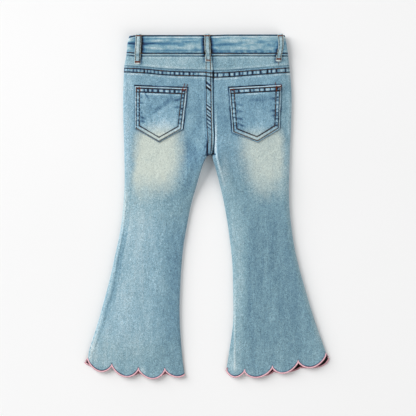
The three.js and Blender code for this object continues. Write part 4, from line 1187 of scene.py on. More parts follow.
rows_out = [(0.0, 0.5), (0.08, 0.2), (0.3, 0.03)] + [(x, 0.0) for x in np.linspace(0.75, 19.9, 30)] + [(20.4, 0.03), (20.75, 0.2), (20.9, 0.5)]
rows_in = [(20.6, 0.97), (20.0, 1.0), (16, 1.0), (12, 1.0), (8, 1.0), (4, 1.0), (0.9, 1.0), (0.25, 0.97)]
profile = rows_out + rows_in
stations = []
attr_w = []
n_back, n_front, n_turn = 230, 90, 9
for k in range(n_back + 1):
    stations.append(("back", k / n_back))
for k in range(1, n_turn):
    stations.append(("right", 90 - 180 * k / n_turn))
for k in range(n_front + 1):
    stations.append(("front", 1 - k / n_front))
for k in range(1, n_turn):
    stations.append(("left", -90 + 180 * k / n_turn))
band_points = np.zeros((len(stations), len(profile), 3))
band_w = np.zeros((len(stations), len(profile)))
for m, (dv, inset) in enumerate(profile):
    share = np.array([s[1] if s[0] in ("back", "front") else (1.0 if s[0] == "right" else 0.0) for s in stations])
    ang = np.radians([90 if s[0] == "back" else -90 if s[0] == "front" else s[1] for s in stations])
    # where the station stands, found twice because the top edge bends down at the ends
    v = np.full(len(stations), 35.0 + dv)
    for _ in range(3):
        lo, hi = left_outer(v) + FOLD / UNIT, right_outer(v) - FOLD / UNIT
        u = mix(lo, hi, share)
        t = dv / 20.9
        v = mix(band_top(u), band_bottom(u), t)
    full = band_full(u, v)
    # the back's height goes over to the front's round the fold
    half = 4.6
    reach = FOLD - inset * BAND * 0.9
    up = full - half - inset * BAND
    down = half - inset * BAND
    vert = np.where(ang >= 0, up, down)
    z = LIFT + half + np.sin(ang) * vert
    sidewise = np.array([0 if s[0] in ("back", "front") else (1 if s[0] == "right" else -1) for s in stations])
    x = X(u) + sidewise * np.cos(ang) * reach
    wig = np.where(ang < -1.5, 0.25 + 0.2 * noise(u / 5, v / 5, 121), 0)
    band_points[:, m] = np.stack([x, Y(v), z + wig * (1 - inset)], -1)
    uu = np.where(sidewise == 0, u, u + sidewise * np.cos(ang) * reach / UNIT)
    band_w[:, m] = np.where(ang > -0.2, band_wash_and_shade(uu, v), -0.05 + 0.2 * noise(u / 4, v / 2, 122)) - (0.6 if inset > 0.9 else 0)
S, M = band_points.shape[:2]
i, j = np.meshgrid(np.arange(S), np.arange(M), indexing="ij")
a = i * M + j
b = ((i + 1) % S) * M + j
c = ((i + 1) % S) * M + (j + 1) % M
d = i * M + (j + 1) % M
faces = np.stack([a, d, c, b], -1).reshape(-1, 4)
band = mesh_object("waistband_cloth", band_points.reshape(-1, 3), faces, {"wash_and_shade": band_w.ravel(), "cream": 0 * band_w.ravel(), "blue": np.clip(1.25 * (0.26 - band_w.ravel()), 0.04, 1)}, DENIM_BAND)
keep(band, "denim", "waistband")


# ---------------------------------------------------------------- pockets
POCKET = 1.7


def pocket_rows(name, u, v):
    """Distance from the top edge, and from the nearest of the other edges."""
    poly = pocket_outline(name)
    others = np.full(np.broadcast(u, v).shape, 1e9)
    for k in range(1, 5):
        others = np.minimum(others, side_distance(poly, k, u, v)[0])
    return side_distance(poly, 0, u, v)[0], others


def row_marks(name, u, v, wide=0.5):
    """How near a point is to the outer and the inner row of stitches, 0 to 1, with each side's own depth."""
    poly = pocket_outline(name)
    sides = POCKET_SIDES[name]
    dist = [side_distance(poly, k, u, v)[0] for k in range(5)]
    marks = [np.zeros(np.broadcast(u, v).shape) for _ in range(2)]
    for k in range(5):
        for row in range(2):
            here = sides[k][2 + row] * np.exp(-(((dist[k] - sides[k][row]) / wide) ** 2))
            for m in range(5):
                if m != k:
                    limit = sides[m][0] if row == 0 or 0 in (k, m) else sides[m][1]
                    here = here * (dist[m] > limit - 0.5)
            marks[row] = np.maximum(marks[row], here)
    return marks


def pocket_relief(name, u, v):
    et, eo = pocket_rows(name, u, v)
    outer_row, inner_row = row_marks(name, u, v, 0.48)
    z = 0.16 * noise(u / 8, v / 8, 131) + 0.10 * noise(u / 3, v / 3, 132) + 0.08 * noise(u / 1.6, v / 1.9, 133)
    z -= 0.5 * outer_row + 0.55 * inner_row
    z += 0.25 * np.exp(-(((eo - 3.35) / 1.2) ** 2))
    z += 0.30 * np.exp(-(((et - 3.9) / 1.3) ** 2)) + 0.3 * np.exp(-(((et - 7.5) / 0.9) ** 2))
    return z


def pocket_puckers(name, u, v, width=0.8):
    """Puckers between the two rows of stitches, along each side."""
    poly = pocket_outline(name)
    out = np.zeros(np.broadcast(u, v).shape)
    e = inside(u, v, poly)
    for k in range(len(poly)):
        across, along, length = side_distance(poly, k, u, v)
        r = np.random.default_rng(200 + k + (10 if name == "pocket_right" else 0))
        places = []
        x = 2.5 + r.random()
        step = [5.6, 3.4, 6.5, 6.5, 4.2][k]
        while x < length - 2:
            places.append(x)
            x += step * (0.65 + 0.7 * r.random())
        strength = [1.0, 0.7, 0.15, 0.15, 0.6][k]
        middle, spread = (3.9, 1.6) if k == 0 else (3.2, 1.2)
        mine = np.exp(-np.abs((across - middle) / spread) ** 3) * (np.abs(across - e) < 0.6)
        out += strength * mine * bars(along, places, width * (1.3 if k == 0 else 1.0))
    return out


def pocket_z(name, u, v, relief=True):
    e = inside(u, v, pocket_outline(name)) * UNIT
    r = np.sqrt(np.maximum(1 - (1 - np.clip(e / 1.0, 0, 1)) ** 2, 0))
    bulge = 0.9 * smooth(e / 16)
    z = POCKET + bulge
    if relief:
        z = z + pocket_relief(name, u, v) - 0.45 * pocket_puckers(name, u, v)
    ground = pocket_ground(name, u, v)
    return ground + 0.25 + (z - 0.25) * r


def pocket_ground(name, u, v):
    side = "left" if name.endswith("left") else "right"
    return base(v) + 7.7 + crown(side, u, v) + 0.30 * noise(u / 13, v / 24, 3) + 0.45


def uneven(length, marks, fine=0.42, coarse=1.25):
    """Shares along a length in mm, closer together at the marks."""
    marks = np.array(sorted(set(marks) | {length - m for m in marks}))
    x = np.linspace(0, length, 4000)
    gap = np.abs(x[:, None] - marks[None]).min(1)
    density = 1 / np.clip(fine + 0.32 * np.maximum(gap - 0.5, 0), fine, coarse)
    total = np.concatenate([[0], np.cumsum((density[1:] + density[:-1]) / 2 * np.diff(x))])
    n = int(round(total[-1]))
    return np.interp(np.linspace(0, total[-1], n + 1), total, x) / length


for name, p in POCKETS.items():
    tl, tr, br, tip, bl = (np.array(p[k]) for k in ("tl", "tr", "br", "tip", "bl"))
    a = uneven(93, [0.3, 2.6, 9.1])
    tip_share = (tip[0] - bl[0]) / (br[0] - bl[0])
    # the tip falls on a column
    a = np.where(a < 0.5, a / 0.5 * tip_share, mix(tip_share, 1, (a - 0.5) / 0.5))
    if not np.any(np.abs(a - tip_share) < 1e-6):
        a[np.argmin(np.abs(a - tip_share))] = tip_share
    b = uneven(86, [0.3, 3.0, 10.0])
    top = tl[None] + (tr - tl)[None] * a[:, None]
    foot = np.where((a <= tip_share)[:, None], bl + (tip - bl) * (a / tip_share)[:, None], tip + (br - tip) * ((a - tip_share) / (1 - tip_share))[:, None])
    grid = top[None] + (foot - top)[None] * b[:, None, None]
    u, v = grid[..., 0], grid[..., 1]
    # edges are not quite straight
    u = u + 0.16 * noise(v / 7, u * 0 + a[None] * 2, 141)
    v = v + 0.14 * noise(u / 8, v * 0 + b[:, None] * 2, 142)
    e = inside(u, v, pocket_outline(name))
    edge = np.minimum(np.minimum(a, 1 - a)[None] * 93 + 0 * v, np.minimum(b, 1 - b)[:, None] * 86 + 0 * v)
    r = np.sqrt(np.maximum(1 - (1 - np.clip(edge / 1.0, 0, 1)) ** 2, 0))
    ground = pocket_ground(name, u, v)
    z = ground + 0.1 + (POCKET + 0.9 * smooth(edge / 16) + (pocket_relief(name, u, v) - 0.45 * pocket_puckers(name, u, v)) * smooth(edge / 1.5)) * r
    pk = pocket_puckers(name, u, v)
    et, eo = pocket_rows(name, u, v)
    w = -0.04 + 0.10 * noise(u / 9, v / 12, 151) + 0.10 * noise(u / 3, v / 4, 152) + 0.10 * noise(u / 1.4, v / 1.7, 153)
    bottom = smooth((v - (tip[1] + bl[1] + br[1]) / 3 + 6) / 3)
    # pale rim, painted shade on the pocket's cut edge, and two rows of stitches
    dist = [side_distance(pocket_outline(name), k, u, v)[0] for k in range(5)]
    nearest = np.argmin(np.array(dist), axis=0)
    rim = np.array([row[4] for row in POCKET_SIDES[name]])[nearest]
    w += rim * np.exp(-(((np.min(dist, axis=0) - 0.65) / 0.48) ** 2)) - 1.2 * np.exp(-((edge / 0.4) ** 2))
    broken = smooth(0.85 + 1.1 * noise(v / 1.6, u / 6, 156))
    broken = np.where((nearest == 1) | (nearest == 4), broken, 1.0)
    outer_row, inner_row = row_marks(name, u, v, 0.6)
    rows = np.maximum(outer_row, inner_row) * broken
    w += 0.8 * np.exp(-np.abs((et - 3.9) / 1.4) ** 3) * (eo > 1.2) * smooth(0.8 + 0.9 * noise(u / 3.1, 0 * v, 157)) + 0.42 * np.exp(-(((eo - 3.0) / 1.1) ** 2)) * (et > 6)
    w += 0.75 * np.exp(-(((et - 7.4) / 0.7) ** 2)) * smooth((eo - 5.0) / 2) * smooth(0.9 + 0.8 * noise(u / 9, 0 * v, 155))
    w -= 2.4 * pk
    # painted shade just inside the inner row, on the sides
    w -= 0.22 * np.exp(-(((eo - 6.4) / 1.1) ** 2)) * (1 - bottom) * (0.6 + 1.0 * noise(u / 4, v / 4, 154))
    if name == "pocket_left":
        w += blobs(u, v, [(160, 131, 19, 10, 0.58), (170, 121, 12, 10, 0.30), (150, 123, 9, 8, 0.10), (173, 99, 9, 4, -0.14), (142.5, 106, 3, 16, 0.22), (161, 109, 4, 2.6, -0.14)])
        w += ridge(u, v, [(149, 121, 0), (158, 114, 0.22), (170, 106, 0.22), (178, 101, 0)], 2.4)
        w += ridge(u, v, [(150, 116, 0), (157, 109.6, -0.28), (166, 103, -0.34), (175, 97.4, 0)], 2.2)
        for line in ([(139, 116, 0), (143, 118, -0.9), (147, 119.5, 0)], [(139, 121, 0), (142.5, 121.3, -1.0), (147, 122.6, 0)], [(145.2, 90.5, -0.6), (145.6, 94, -1.0), (148.4, 98.4, -0.4), (150, 100, 0)], [(139, 97, 0), (141, 97.6, -0.8), (144, 97.4, 0)], [(138.5, 102.6, -0.4), (141, 103, -0.9), (144.4, 103.4, 0)], [(139, 112, 0), (141.5, 112.6, -0.6), (144, 112.4, 0)], [(181, 99, -0.4), (177, 100.4, -0.8), (173, 100.4, 0)], [(180, 107, -0.3), (176, 107.6, -0.6), (172, 107.5, 0)]):
            w += ridge(u, v, line, 1.0)
        cr = np.clip(cream_at(u, v) * 0.66 + blobs(u, v, [(160, 138, 13, 6, 0.36)]), 0, 1) * smooth((v - 112) / 20)
    else:
        w += blobs(u, v, [(274.5, 90, 4, 3, -0.4), (243, 92.5, 6, 2.6, -0.3), (258, 131, 16, 8, 0.22), (258, 116, 18, 12, 0.09), (258, 99, 18, 4, -0.16), (270, 122, 8, 8, 0.06)])
        for line in ([(238, 123.6, -0.4), (242, 125.6, -0.9), (246.5, 127, 0)], [(237.5, 104, -0.3), (240.6, 105, -0.7), (244, 105.4, 0)], [(236.8, 118, -0.4), (240.4, 119, -0.8), (244, 119.4, 0)], [(237, 110.6, -0.4), (240.6, 111.6, -0.7), (244.6, 111.4, 0)], [(276.6, 110, -0.5), (273, 110.8, -0.9), (269, 110.4, 0)], [(276.6, 115, -0.4), (273, 115.8, -0.7), (269.6, 115.4, 0)], [(276.8, 98, -0.4), (273, 98.8, -0.7), (269, 98.4, 0)], [(248, 99.4, 0), (258, 100.4, -0.35), (270, 99.2, 0)]):
            w += ridge(u, v, line, 1.0)
        cr = np.clip(cream_at(u, v) * 0.7, 0, 1) * smooth((v - 120) / 18)
    # stitch rows of the pocket: unfaded cloth with painted groove shade
    w = unfaded_and_shaded(w, rows)
    cr = cr * smooth((edge - 2) / 3) * (1 - np.clip(rows, 0, 1))
    upper = np.stack([X(u), Y(v), z], -1)
    lower = np.stack([X(u), Y(v), ground - 0.1 + 0 * z], -1)
    ob = shell(name + "_cloth", upper, lower, {"wash_and_shade": w, "cream": cr, "blue": hue_at(u, v, cr, 1.1)}, DENIM)
    keep(ob, "denim", name)


# ---------------------------------------------------------------- belt loops
def along_line(points, count):
    """Points, tangents and lengths evenly along a smooth line through (u, v) points."""
    pts = np.array(points, float)
    t = np.concatenate([[0], np.cumsum(np.hypot(*np.diff(pts, axis=0).T))])
    if len(pts) > 2:
        fu = track([(a, b) for a, b in zip(t, pts[:, 0])], 1)
        fv = track([(a, b) for a, b in zip(t, pts[:, 1])], 1)
    else:
        fu = lambda x: np.interp(x, t, pts[:, 0])
        fv = lambda x: np.interp(x, t, pts[:, 1])
    s = np.linspace(0, t[-1], count)
    p = np.stack([fu(s), fv(s)], -1)
    d = np.gradient(p, axis=0)
    d /= np.maximum(np.hypot(*d.T), 1e-9)[:, None]
    return p, d, s


loop_tops = {}
for name, line, width in LOOPS:
    p, d, s = along_line(line, 70)
    nrm = np.stack([-d[:, 1], d[:, 0]], -1)
    across = np.array([-1, -0.97, -0.9, -0.8, -0.68, -0.56, -0.4, -0.2, 0, 0.2, 0.4, 0.56, 0.68, 0.8, 0.9, 0.97, 1.0])
    wob = 0.10 * noise(s / 3.2, 0 * s, 161 + len(name))
    w2 = width / 2 * (1 + 0.03 * noise(s / 5, 0 * s, 162 + len(name)))
    if name == "belt_loop_back_right":
        # twisted, so narrower on its way down
        w2 = w2 * np.interp(p[:, 1], [34, 38, 44, 50, 54, 58, 63], [1.12, 1.06, 0.90, 0.86, 0.92, 1.04, 1.0])
    u = p[:, :1] - nrm[:, :1] * (across[None] * w2[:, None] + wob[:, None])
    v = p[:, 1:] - nrm[:, 1:] * (across[None] * w2[:, None] + wob[:, None])
    vc = p[:, 1]
    on_band = LIFT + 11.5 + 0.9 * np.sin(np.pi * np.clip((vc - 36) / 19, 0, 1))
    if name == "belt_loop_back_right":
        on_band = on_band + 0.9 * np.exp(-(((vc - 44.5) / 3.5) ** 2))
    side = "left" if name != "belt_loop_back_right" else "right"
    on_yoke = base(vc) + 7.5 + 2.0 + 0.9 + (0.8 if name == "belt_loop_back_centre" else 0)
    zc = mix(on_band, on_yoke, smooth((vc - 54.5) / 5.0))
    over = smooth((35.6 - vc) / 1.6)
    zc = zc - 1.6 * over**2
    end = smooth((vc - vc.max() + 0.9) / 0.9)
    zc = zc - 1.7 * end**2
    thick = 1.9
    edge = np.sqrt(np.maximum(1 - np.abs(across[None]) ** 9, 0))
    rope = 0.16 * noise(v / 1.9, across[None] * 1.2 + 0 * v, 171 + len(name)) - 0.3 * np.exp(-(((np.abs(across[None]) - 0.72) / 0.1) ** 2))
    z = zc[:, None] + thick * (edge - 1) + rope * edge + 0.15 * np.cos(across[None] * 1.4)
    lower = zc[:, None] - thick + 0 * u
    aa = np.abs(across[None]) + 0 * u
    dash = noise(v / 1.5, np.sign(across)[None] * 9 + 0 * v, 182)
    w = 0.30 + 0.22 * noise(v / 2.2, across[None] * 1.5 + 0 * v, 181 + len(name)) + 0 * u
    # stitch dashes on the loop: unfaded cloth with painted groove shade
    w = unfaded_and_shaded(w, 1.1 * np.exp(-(((aa - 0.66) / 0.12) ** 2)) * smooth(0.75 + 0.9 * dash))
    # the loop's cut sides are painted dark as shade
    w = w + 0.35 * np.exp(-(((aa - 0.88) / 0.07) ** 2)) - 2.2 * (aa > 0.985)
    w = w - 0.35 * np.exp(-(((v - 55.5) / 1.0) ** 2))
    ends = smooth((v - vc.max() + 2.6) / 0.7)
    # the end below the bar tack is paler, and its last edge is painted dark as shade
    w = w + 0.75 * ends * (aa < 0.95) - 1.6 * smooth((v - vc.max() + 0.55) / 0.4)
    if name == "belt_loop_back_left":
        w = w + 0.36 * (across[None] < 0.1) * (1 - smooth((v - 50) / 6))
    if name == "belt_loop_back_right":
        w = w + 0.5 * (across[None] > 0.6) * (1 - smooth((v - 44) / 6))
    # the folded edges have faded to a warm grey
    beige = 0.55 * smooth((aa - 0.42) / 0.2) * (1 - ends) * (0.75 + 0.4 * noise(v / 2.6, across[None] * 2 + 0 * v, 183)) + 0.35 * ends
    # its two ends are closed down to what it is sewn on
    upper = np.stack([X(u), Y(v), z], -1)
    low = np.stack([X(u), Y(v), np.minimum(lower, z - 0.3)], -1)
    ob = shell(name + "_cloth", upper, low, {"wash_and_shade": w, "cream": beige}, DENIM_TRIM)
    keep(ob, "denim", name)
    loop_tops[name] = (p, nrm, w2, zc)

for name, u0 in (("belt_loop_front_left", 164.0), ("belt_loop_front_right", 254.0)):
    lo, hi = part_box(name)
    vs = np.linspace(35.2, 62.4, 40)
    us = u0 + np.array([-3.2, -3.1, -2.9, -2.4, -1.4, 0, 1.4, 2.4, 2.9, 3.1, 3.2])
    u, v = np.meshgrid(us, vs)
    under = np.where(v < 56, LIFT - 0.35, base(v) - 0.3) - 0.15
    edge = np.sqrt(np.maximum(1 - np.abs((u - u0) / 3.2) ** 9, 0))
    z_up = np.minimum(under, 2.2)
    z_dn = np.maximum(z_up - 1.5 * (0.35 + 0.65 * edge) - 0.06 * noise(v / 1.5, u, 191), 0.42)
    w = 0.1 + 0.2 * noise(v / 2, u / 2, 192)
    ob = shell(name + "_cloth", np.stack([X(u), Y(v), z_up], -1), np.stack([X(u), Y(v), z_dn], -1), {"wash_and_shade": w, "cream": 0 * w}, DENIM_TRIM)
    keep(ob, "denim", name)

# ---------------------------------------------------------------- fly, on the underside
fly_u = lambda v: centre_front(v) - np.interp(v, [56, 112, 118, 123, 126.5, 129], [17, 17, 15.6, 12, 7.5, 1.2])
vs = np.linspace(56.3, 128.8, 90)
sh = np.linspace(0, 1, 56)
u = fly_u(vs)[:, None] + (centre_front(vs) - 0.25 - fly_u(vs))[:, None] * sh[None]
v = vs[:, None] + 0 * u
# it lies just inside the front panel, so that only its turned edge shows below
z_dn = np.maximum(base(v) - 0.05 + 0.05 * noise(u / 3, v / 3, 201), 0.0)
z_dn = np.minimum(front_z("left", u, v) - 0.12, z_dn + 0 * u)
z_dn = np.maximum(z_dn, 0.0)
w = 0.05 + 0.2 * noise(u / 4, v / 8, 202)
# the two rows of stitches draw it in
drawn = np.exp(-(((u - fly_u(v) - 1.2) / 0.5) ** 2)) + np.exp(-(((u - fly_u(v) - 4.6) / 0.5) ** 2)) * (v < 121.6)
z_dn = z_dn + 0.42 * drawn
w = unfaded_and_shaded(w, 0.8 * drawn, -1.2)
ob = shell("fly_cloth", np.stack([X(u), Y(v), z_dn + 1.0], -1), np.stack([X(u), Y(v), z_dn], -1), {"wash_and_shade": w, "cream": 0 * w}, DENIM_TRIM)
keep(ob, "denim", "fly")


# ---------------------------------------------------------------- stitches
class Bag:
    """Many small closed shapes joined in one mesh."""

    def __init__(self):
        self.points, self.faces, self.tints, self.n = [], [], [], 0

    def add(self, points, faces, tint):
        self.points.append(points)
        self.faces += [tuple(int(x) + self.n for x in f) for f in faces]
        self.tints.append(np.full(len(points), tint) if np.isscalar(tint) else tint)
        self.n += len(points)

    def make(self, name, material, slot):
        ob = mesh_object(name, np.concatenate(self.points), self.faces, {"tint": np.concatenate(self.tints)}, material, sharp=0)
        keep(ob, slot)
        return ob


RING = 6
CAP = [(-1.0, 0.30), (-0.72, 0.86), (0.0, 1.0), (0.72, 0.86), (1.0, 0.30)]
CAP_FACES = []
for r in range(len(CAP) - 1):
    for k in range(RING):
        CAP_FACES.append((r * RING + k, r * RING + (k + 1) % RING, (r + 1) * RING + (k + 1) % RING, (r + 1) * RING + k))
CAP_FACES.append(tuple(range(RING))[::-1])
CAP_FACES.append(tuple((len(CAP) - 1) * RING + k for k in range(RING)))


def stitch(bag, a, b, up, radius, tint, sink=0.75, flat=0.8):
    """One thread float between two points, mm, dipping into the cloth at both ends."""
    a, b, up = (np.asarray(x, float) for x in (a, b, up))
    d = b - a
    length = np.linalg.norm(d)
    d = d / max(length, 1e-9)
    side = np.cross(d, up)
    side /= max(np.linalg.norm(side), 1e-9)
    up = np.cross(side, d)
    mid = (a + b) / 2
    pts = []
    for t, r in CAP:
        c = mid + d * t * length / 2 + up * radius * (0.35 - sink * t * t)
        for k in range(RING):
            w = 2 * math.pi * k / RING
            pts.append(c + radius * r * (side * math.cos(w) + up * math.sin(w) * flat))
    bag.add(np.array(pts), CAP_FACES, tint)


def resample(points, step):
    """Evenly spaced (u, v) points along a line; corners stay where they are."""
    pts = np.array(points, float)
    seg = np.hypot(*np.diff(pts, axis=0).T)
    t = np.concatenate([[0], np.cumsum(seg)])
    n = max(1, int(round(t[-1] * UNIT / step)))
    s = np.linspace(0, t[-1], n + 1)
    return np.stack([np.interp(s, t, pts[:, 0]), np.interp(s, t, pts[:, 1])], -1)


def sew(bag, points, height, step=3.1, gap=0.2, radius=0.72, seed=0, rust=0.2, down=False, raise_by=0.12):
    """A row of stitches along (u, v) points on a surface given by height(u, v)."""
    p = resample(points, step)
    r = np.random.default_rng(seed)
    z = height(p[:, 0], p[:, 1])
    up = np.array([0, 0, -1.0 if down else 1.0])
    for k in range(len(p) - 1):
        d = p[k + 1] - p[k]
        length = math.hypot(*d) * UNIT
        g = gap / max(length, 0.1) / 2
        a, b = p[k] + d * g, p[k + 1] - d * g
        za, zb = mix(z[k], z[k + 1], g), mix(z[k + 1], z[k], g)
        lift = -raise_by if down else raise_by
        blush = noise(p[k, 0] / 5 + seed, p[k, 1] / 5, 300 + seed) * 0.6 + 0.5 * noise(p[k, 0] / 1.7 + seed, p[k, 1] / 1.7, 400 + seed)
        tint = float(np.clip(rust + 0.55 * blush + 0.2 * (r.random() - 0.5), 0, 1))
        stitch(bag, (X(a[0]), Y(a[1]), za + lift), (X(b[0]), Y(b[1]), zb + lift), up, radius * (0.92 + 0.16 * r.random()), tint)


def tack(bag, centre, width, height_mm, angle, height, rows=9, seed=0, down=False):
    """A dense bar of short zigzag stitches."""
    r = np.random.default_rng(seed)
    ca, sa = math.cos(angle), math.sin(angle)
    for k in range(rows):
        x = ((k + 0.5) / rows - 0.5) * width
        for s in (-1, 1):
            x0, x1 = x - 0.18 * width / rows * s, x + 0.30 * width / rows * s
            h = height_mm / 2 * (0.9 + 0.2 * r.random())
            a = (centre[0] + (x0 * ca - h * s * sa) / UNIT, centre[1] + (x0 * sa + h * s * ca) / UNIT)
            b = (centre[0] + (x1 * ca + h * s * sa) / UNIT, centre[1] + (x1 * sa - h * s * ca) / UNIT)
            z = float(height(np.array(centre[0] + x * ca / UNIT), np.array(centre[1] + x * sa / UNIT)))
            lift = -0.35 if down else 0.35
            stitch(bag, (X(a[0]), Y(a[1]), z + lift), (X(b[0]), Y(b[1]), z + lift), (0, 0, -1 if down else 1), 0.52, float(r.random()), sink=0.4)


seams = Bag()
tacks = Bag()
yz = lambda u, v: np.where(u < centre_back(v), yoke_z("left", u, v), yoke_z("right", u, v))
bz = back_z_any

# under the yoke
upper_line = [(u0, float(yoke_line(u0)) + 1.9) for u0 in np.linspace(123.9, 212.4, 40)]
sew(seams, upper_line, bz, seed=1, rust=0.28)
lower_line = [(u0, float(yoke_line(u0)) + 5.6) for u0 in np.linspace(123.9, 212.0, 40)]
sew(seams, lower_line, bz, seed=2, rust=0.22)
sew(seams, [(u0, float(yoke_line(u0)) + 1.9) for u0 in np.linspace(213.6, 289.4, 40)], bz, seed=3, rust=0.30)
sew(seams, [(u0, float(yoke_line(u0)) + 6.1) for u0 in np.linspace(213.6, 289.6, 40)], bz, seed=4, rust=0.25)
# centre back
sew(seams, [(206.0, 56.5), (206.0, 64), (206.1, 70)], yz, seed=5, rust=0.35)
sew(seams, [(210.5, 56.5), (210.5, 64), (210.7, 70)], yz, seed=6, rust=0.35)
sew(seams, [(206.1, 72), (206.3, 95), (206.6, 112), (207.3, 130), (208.6, 143)], bz, seed=7, rust=0.40, radius=0.42)
sew(seams, [(210.9, 72), (211.1, 95), (211.4, 115), (211.7, 131), (211.9, 151.5)], bz, seed=8, rust=0.45)
# waistband
us = np.linspace(128.6, 286.6, 60)
sew(seams, [(x, float(band_stitch(x))) for x in us], band_z, seed=9, rust=0.22)
us = np.linspace(130.2, 285.2, 60)
sew(seams, [(x, float(band_stitch_top(x))) for x in us], band_z, seed=10, rust=0.18)


def offset_line(poly, dist, corners):
    """The polygon's sides moved in by dist, cut at their crossings, as a closed list of corners."""
    n = len(poly)
    lines = []
    for k in range(n):
        a, b = np.array(poly[k]), np.array(poly[(k + 1) % n])
        d = (b - a) / np.linalg.norm(b - a)
        nrm = np.array([-d[1], d[0]])
        dd = dist[k] if not np.isscalar(dist) else dist
        lines.append((a + nrm * dd, d))
    out = []
    for k in range(n):
        (p, d), (q, e) = lines[k - 1], lines[k]
        m = np.array([[d[0], -e[0]], [d[1], -e[1]]])
        t = np.linalg.solve(m, q - p)
        out.append(p + d * t[0])
    return out


for k, name in enumerate(POCKETS):
    poly = pocket_outline(name)
    zp = lambda u, v, name=name: pocket_z(name, u, v)
    o = offset_line(poly, [row[0] for row in POCKET_SIDES[name]], None)
    i = offset_line(poly, [row[1] for row in POCKET_SIDES[name]], None)
    # outer row: down the left side, round the tip and up the right side
    sew(seams, [o[0] + (0, -1.0), o[4]], zp, seed=20 + 3 * k, rust=0.30)
    sew(seams, [o[4], o[3], o[2]], zp, seed=24 + 3 * k, rust=0.85)
    sew(seams, [o[2], o[1] + (0.1, -1.0)], zp, seed=28 + 3 * k, rust=0.30)
    # inner row starts at the top edge as well
    il = i[0] + (i[0] - i[4]) / np.linalg.norm(i[0] - i[4]) * 5.4
    ir = i[1] + (i[1] - i[2]) / np.linalg.norm(i[1] - i[2]) * 5.4
    sew(seams, [il, i[4], i[3], i[2], ir], zp, seed=21 + 3 * k, rust=0.30)
    # two rows along the top
    sew(seams, [o[0], o[1]], zp, seed=22 + 3 * k, rust=0.30)
    a = i[0] + (i[0] - i[1]) / np.linalg.norm(i[0] - i[1]) * 3.7
    b = i[1] + (i[1] - i[0]) / np.linalg.norm(i[1] - i[0]) * 3.7
    sew(seams, [a, b], zp, seed=40 + 3 * k, rust=0.25)
    ang = math.atan2(poly[1][1] - poly[0][1], poly[1][0] - poly[0][0])
    for corner, sgn in ((0, 1), (1, -1)):
        c = np.array(poly[corner]) + np.array([math.cos(ang), math.sin(ang)]) * 3.4 * sgn + np.array([-math.sin(ang), math.cos(ang)]) * 1.9
        tack(tacks, c, 8.8, 2.0, ang, zp, rows=12, seed=60 + k * 2 + corner)

# bar tacks over the crossing rows at the pockets' upper corners
for name, corner, places in (("pocket_left", "tr", [(182.6, 88.4, 92.6), (186.3, 88.6, 93.0)]), ("pocket_left", "tl", [(136.9, 87.6, 91.6), (140.4, 87.6, 91.8)]), ("pocket_right", "tr", [(276.6, 85.6, 91.4), (280.7, 84.2, 90.8), (281.6, 84.8, 87.6)]), ("pocket_right", "tl", [(230.7, 89.6, 93.0), (234.4, 89.6, 93.0)])):
    for u0, v0, v1 in places:
        sew(tacks, [(u0, v0), (u0 - 0.1, v1)], lambda u, v, name=name: pocket_z(name, u, v), step=2.1, radius=0.5, seed=int(u0), rust=0.6, raise_by=0.3)

LOOP_TACKS = {  # bar tacks near the loops' lower ends: place, length and width in mm
    "belt_loop_back_left": ((137.6, 62.1), 8.6, 2.6),
    "belt_loop_back_centre": ((208.1, 60.4), 7.6, 1.9),
    "belt_loop_back_right": ((278.8, 59.2), 7.4, 2.6),
}
for name, line, width in LOOPS:
    p, nrm, w2, zc = loop_tops[name]
    for s in (-1, 1):
        pts = p - nrm * (0.68 * s * w2)[:, None]
        zs = zc
        vv = pts[:, 1]
        hgt = lambda u, v, vv=vv, zs=zs: np.interp(v, vv, zs) - 0.1
        sew(seams, pts[3:-3], hgt, step=2.8, gap=0.5, seed=70 + len(name) + s, rust=0.18, radius=0.58)
    top = p[4]
    hgt = lambda u, v, vv=p[:, 1], zs=zc: np.interp(v, vv, zs) + 0.05
    tack(tacks, (top[0], 36.0), 8.6, 2.0, 0, hgt, rows=12, seed=80 + len(name))
    place, long, thick = LOOP_TACKS[name]
    tack(tacks, place, long, thick, 0.03, hgt, rows=12, seed=81 + len(name))


def tail(bag, points, radius, tint, sides=6):
    """A loose thread end through points in mm."""
    pts = np.array(points, float)
    t = np.concatenate([[0], np.cumsum(np.linalg.norm(np.diff(pts, axis=0), axis=1))])
    s = np.linspace(0, t[-1], 12)
    line = np.stack([np.interp(s, t, pts[:, k]) for k in range(3)], -1)
    line[1:-1] = (line[:-2] + line[1:-1] * 2 + line[2:]) / 4
    d = np.gradient(line, axis=0)
    d /= np.linalg.norm(d, axis=1)[:, None]
    a = np.cross(d, [0, 0, 1.0])
    a /= np.maximum(np.linalg.norm(a, axis=1), 1e-6)[:, None]
    b = np.cross(a, d)
    w = 2 * np.pi * np.arange(sides) / sides
    ring = line[:, None] + radius * (a[:, None] * np.cos(w)[None, :, None] + b[:, None] * np.sin(w)[None, :, None])
    faces = []
    for r in range(len(line) - 1):
        for k in range(sides):
            faces.append((r * sides + k, r * sides + (k + 1) % sides, (r + 1) * sides + (k + 1) % sides, (r + 1) * sides + k))
    faces.append(tuple(range(sides))[::-1])
    faces.append(tuple((len(line) - 1) * sides + k for k in range(sides)))
    bag.add(ring.reshape(-1, 3), faces, tint)


def on_back(u, v, up=0.5):
    return [float(X(u)), float(Y(v)), float(back_z_any(np.array(u), np.array(v))) + up]


def on_pocket(name, u, v, up=0.4):
    return [float(X(u)), float(Y(v)), float(pocket_z(name, np.array(u), np.array(v))) + up]


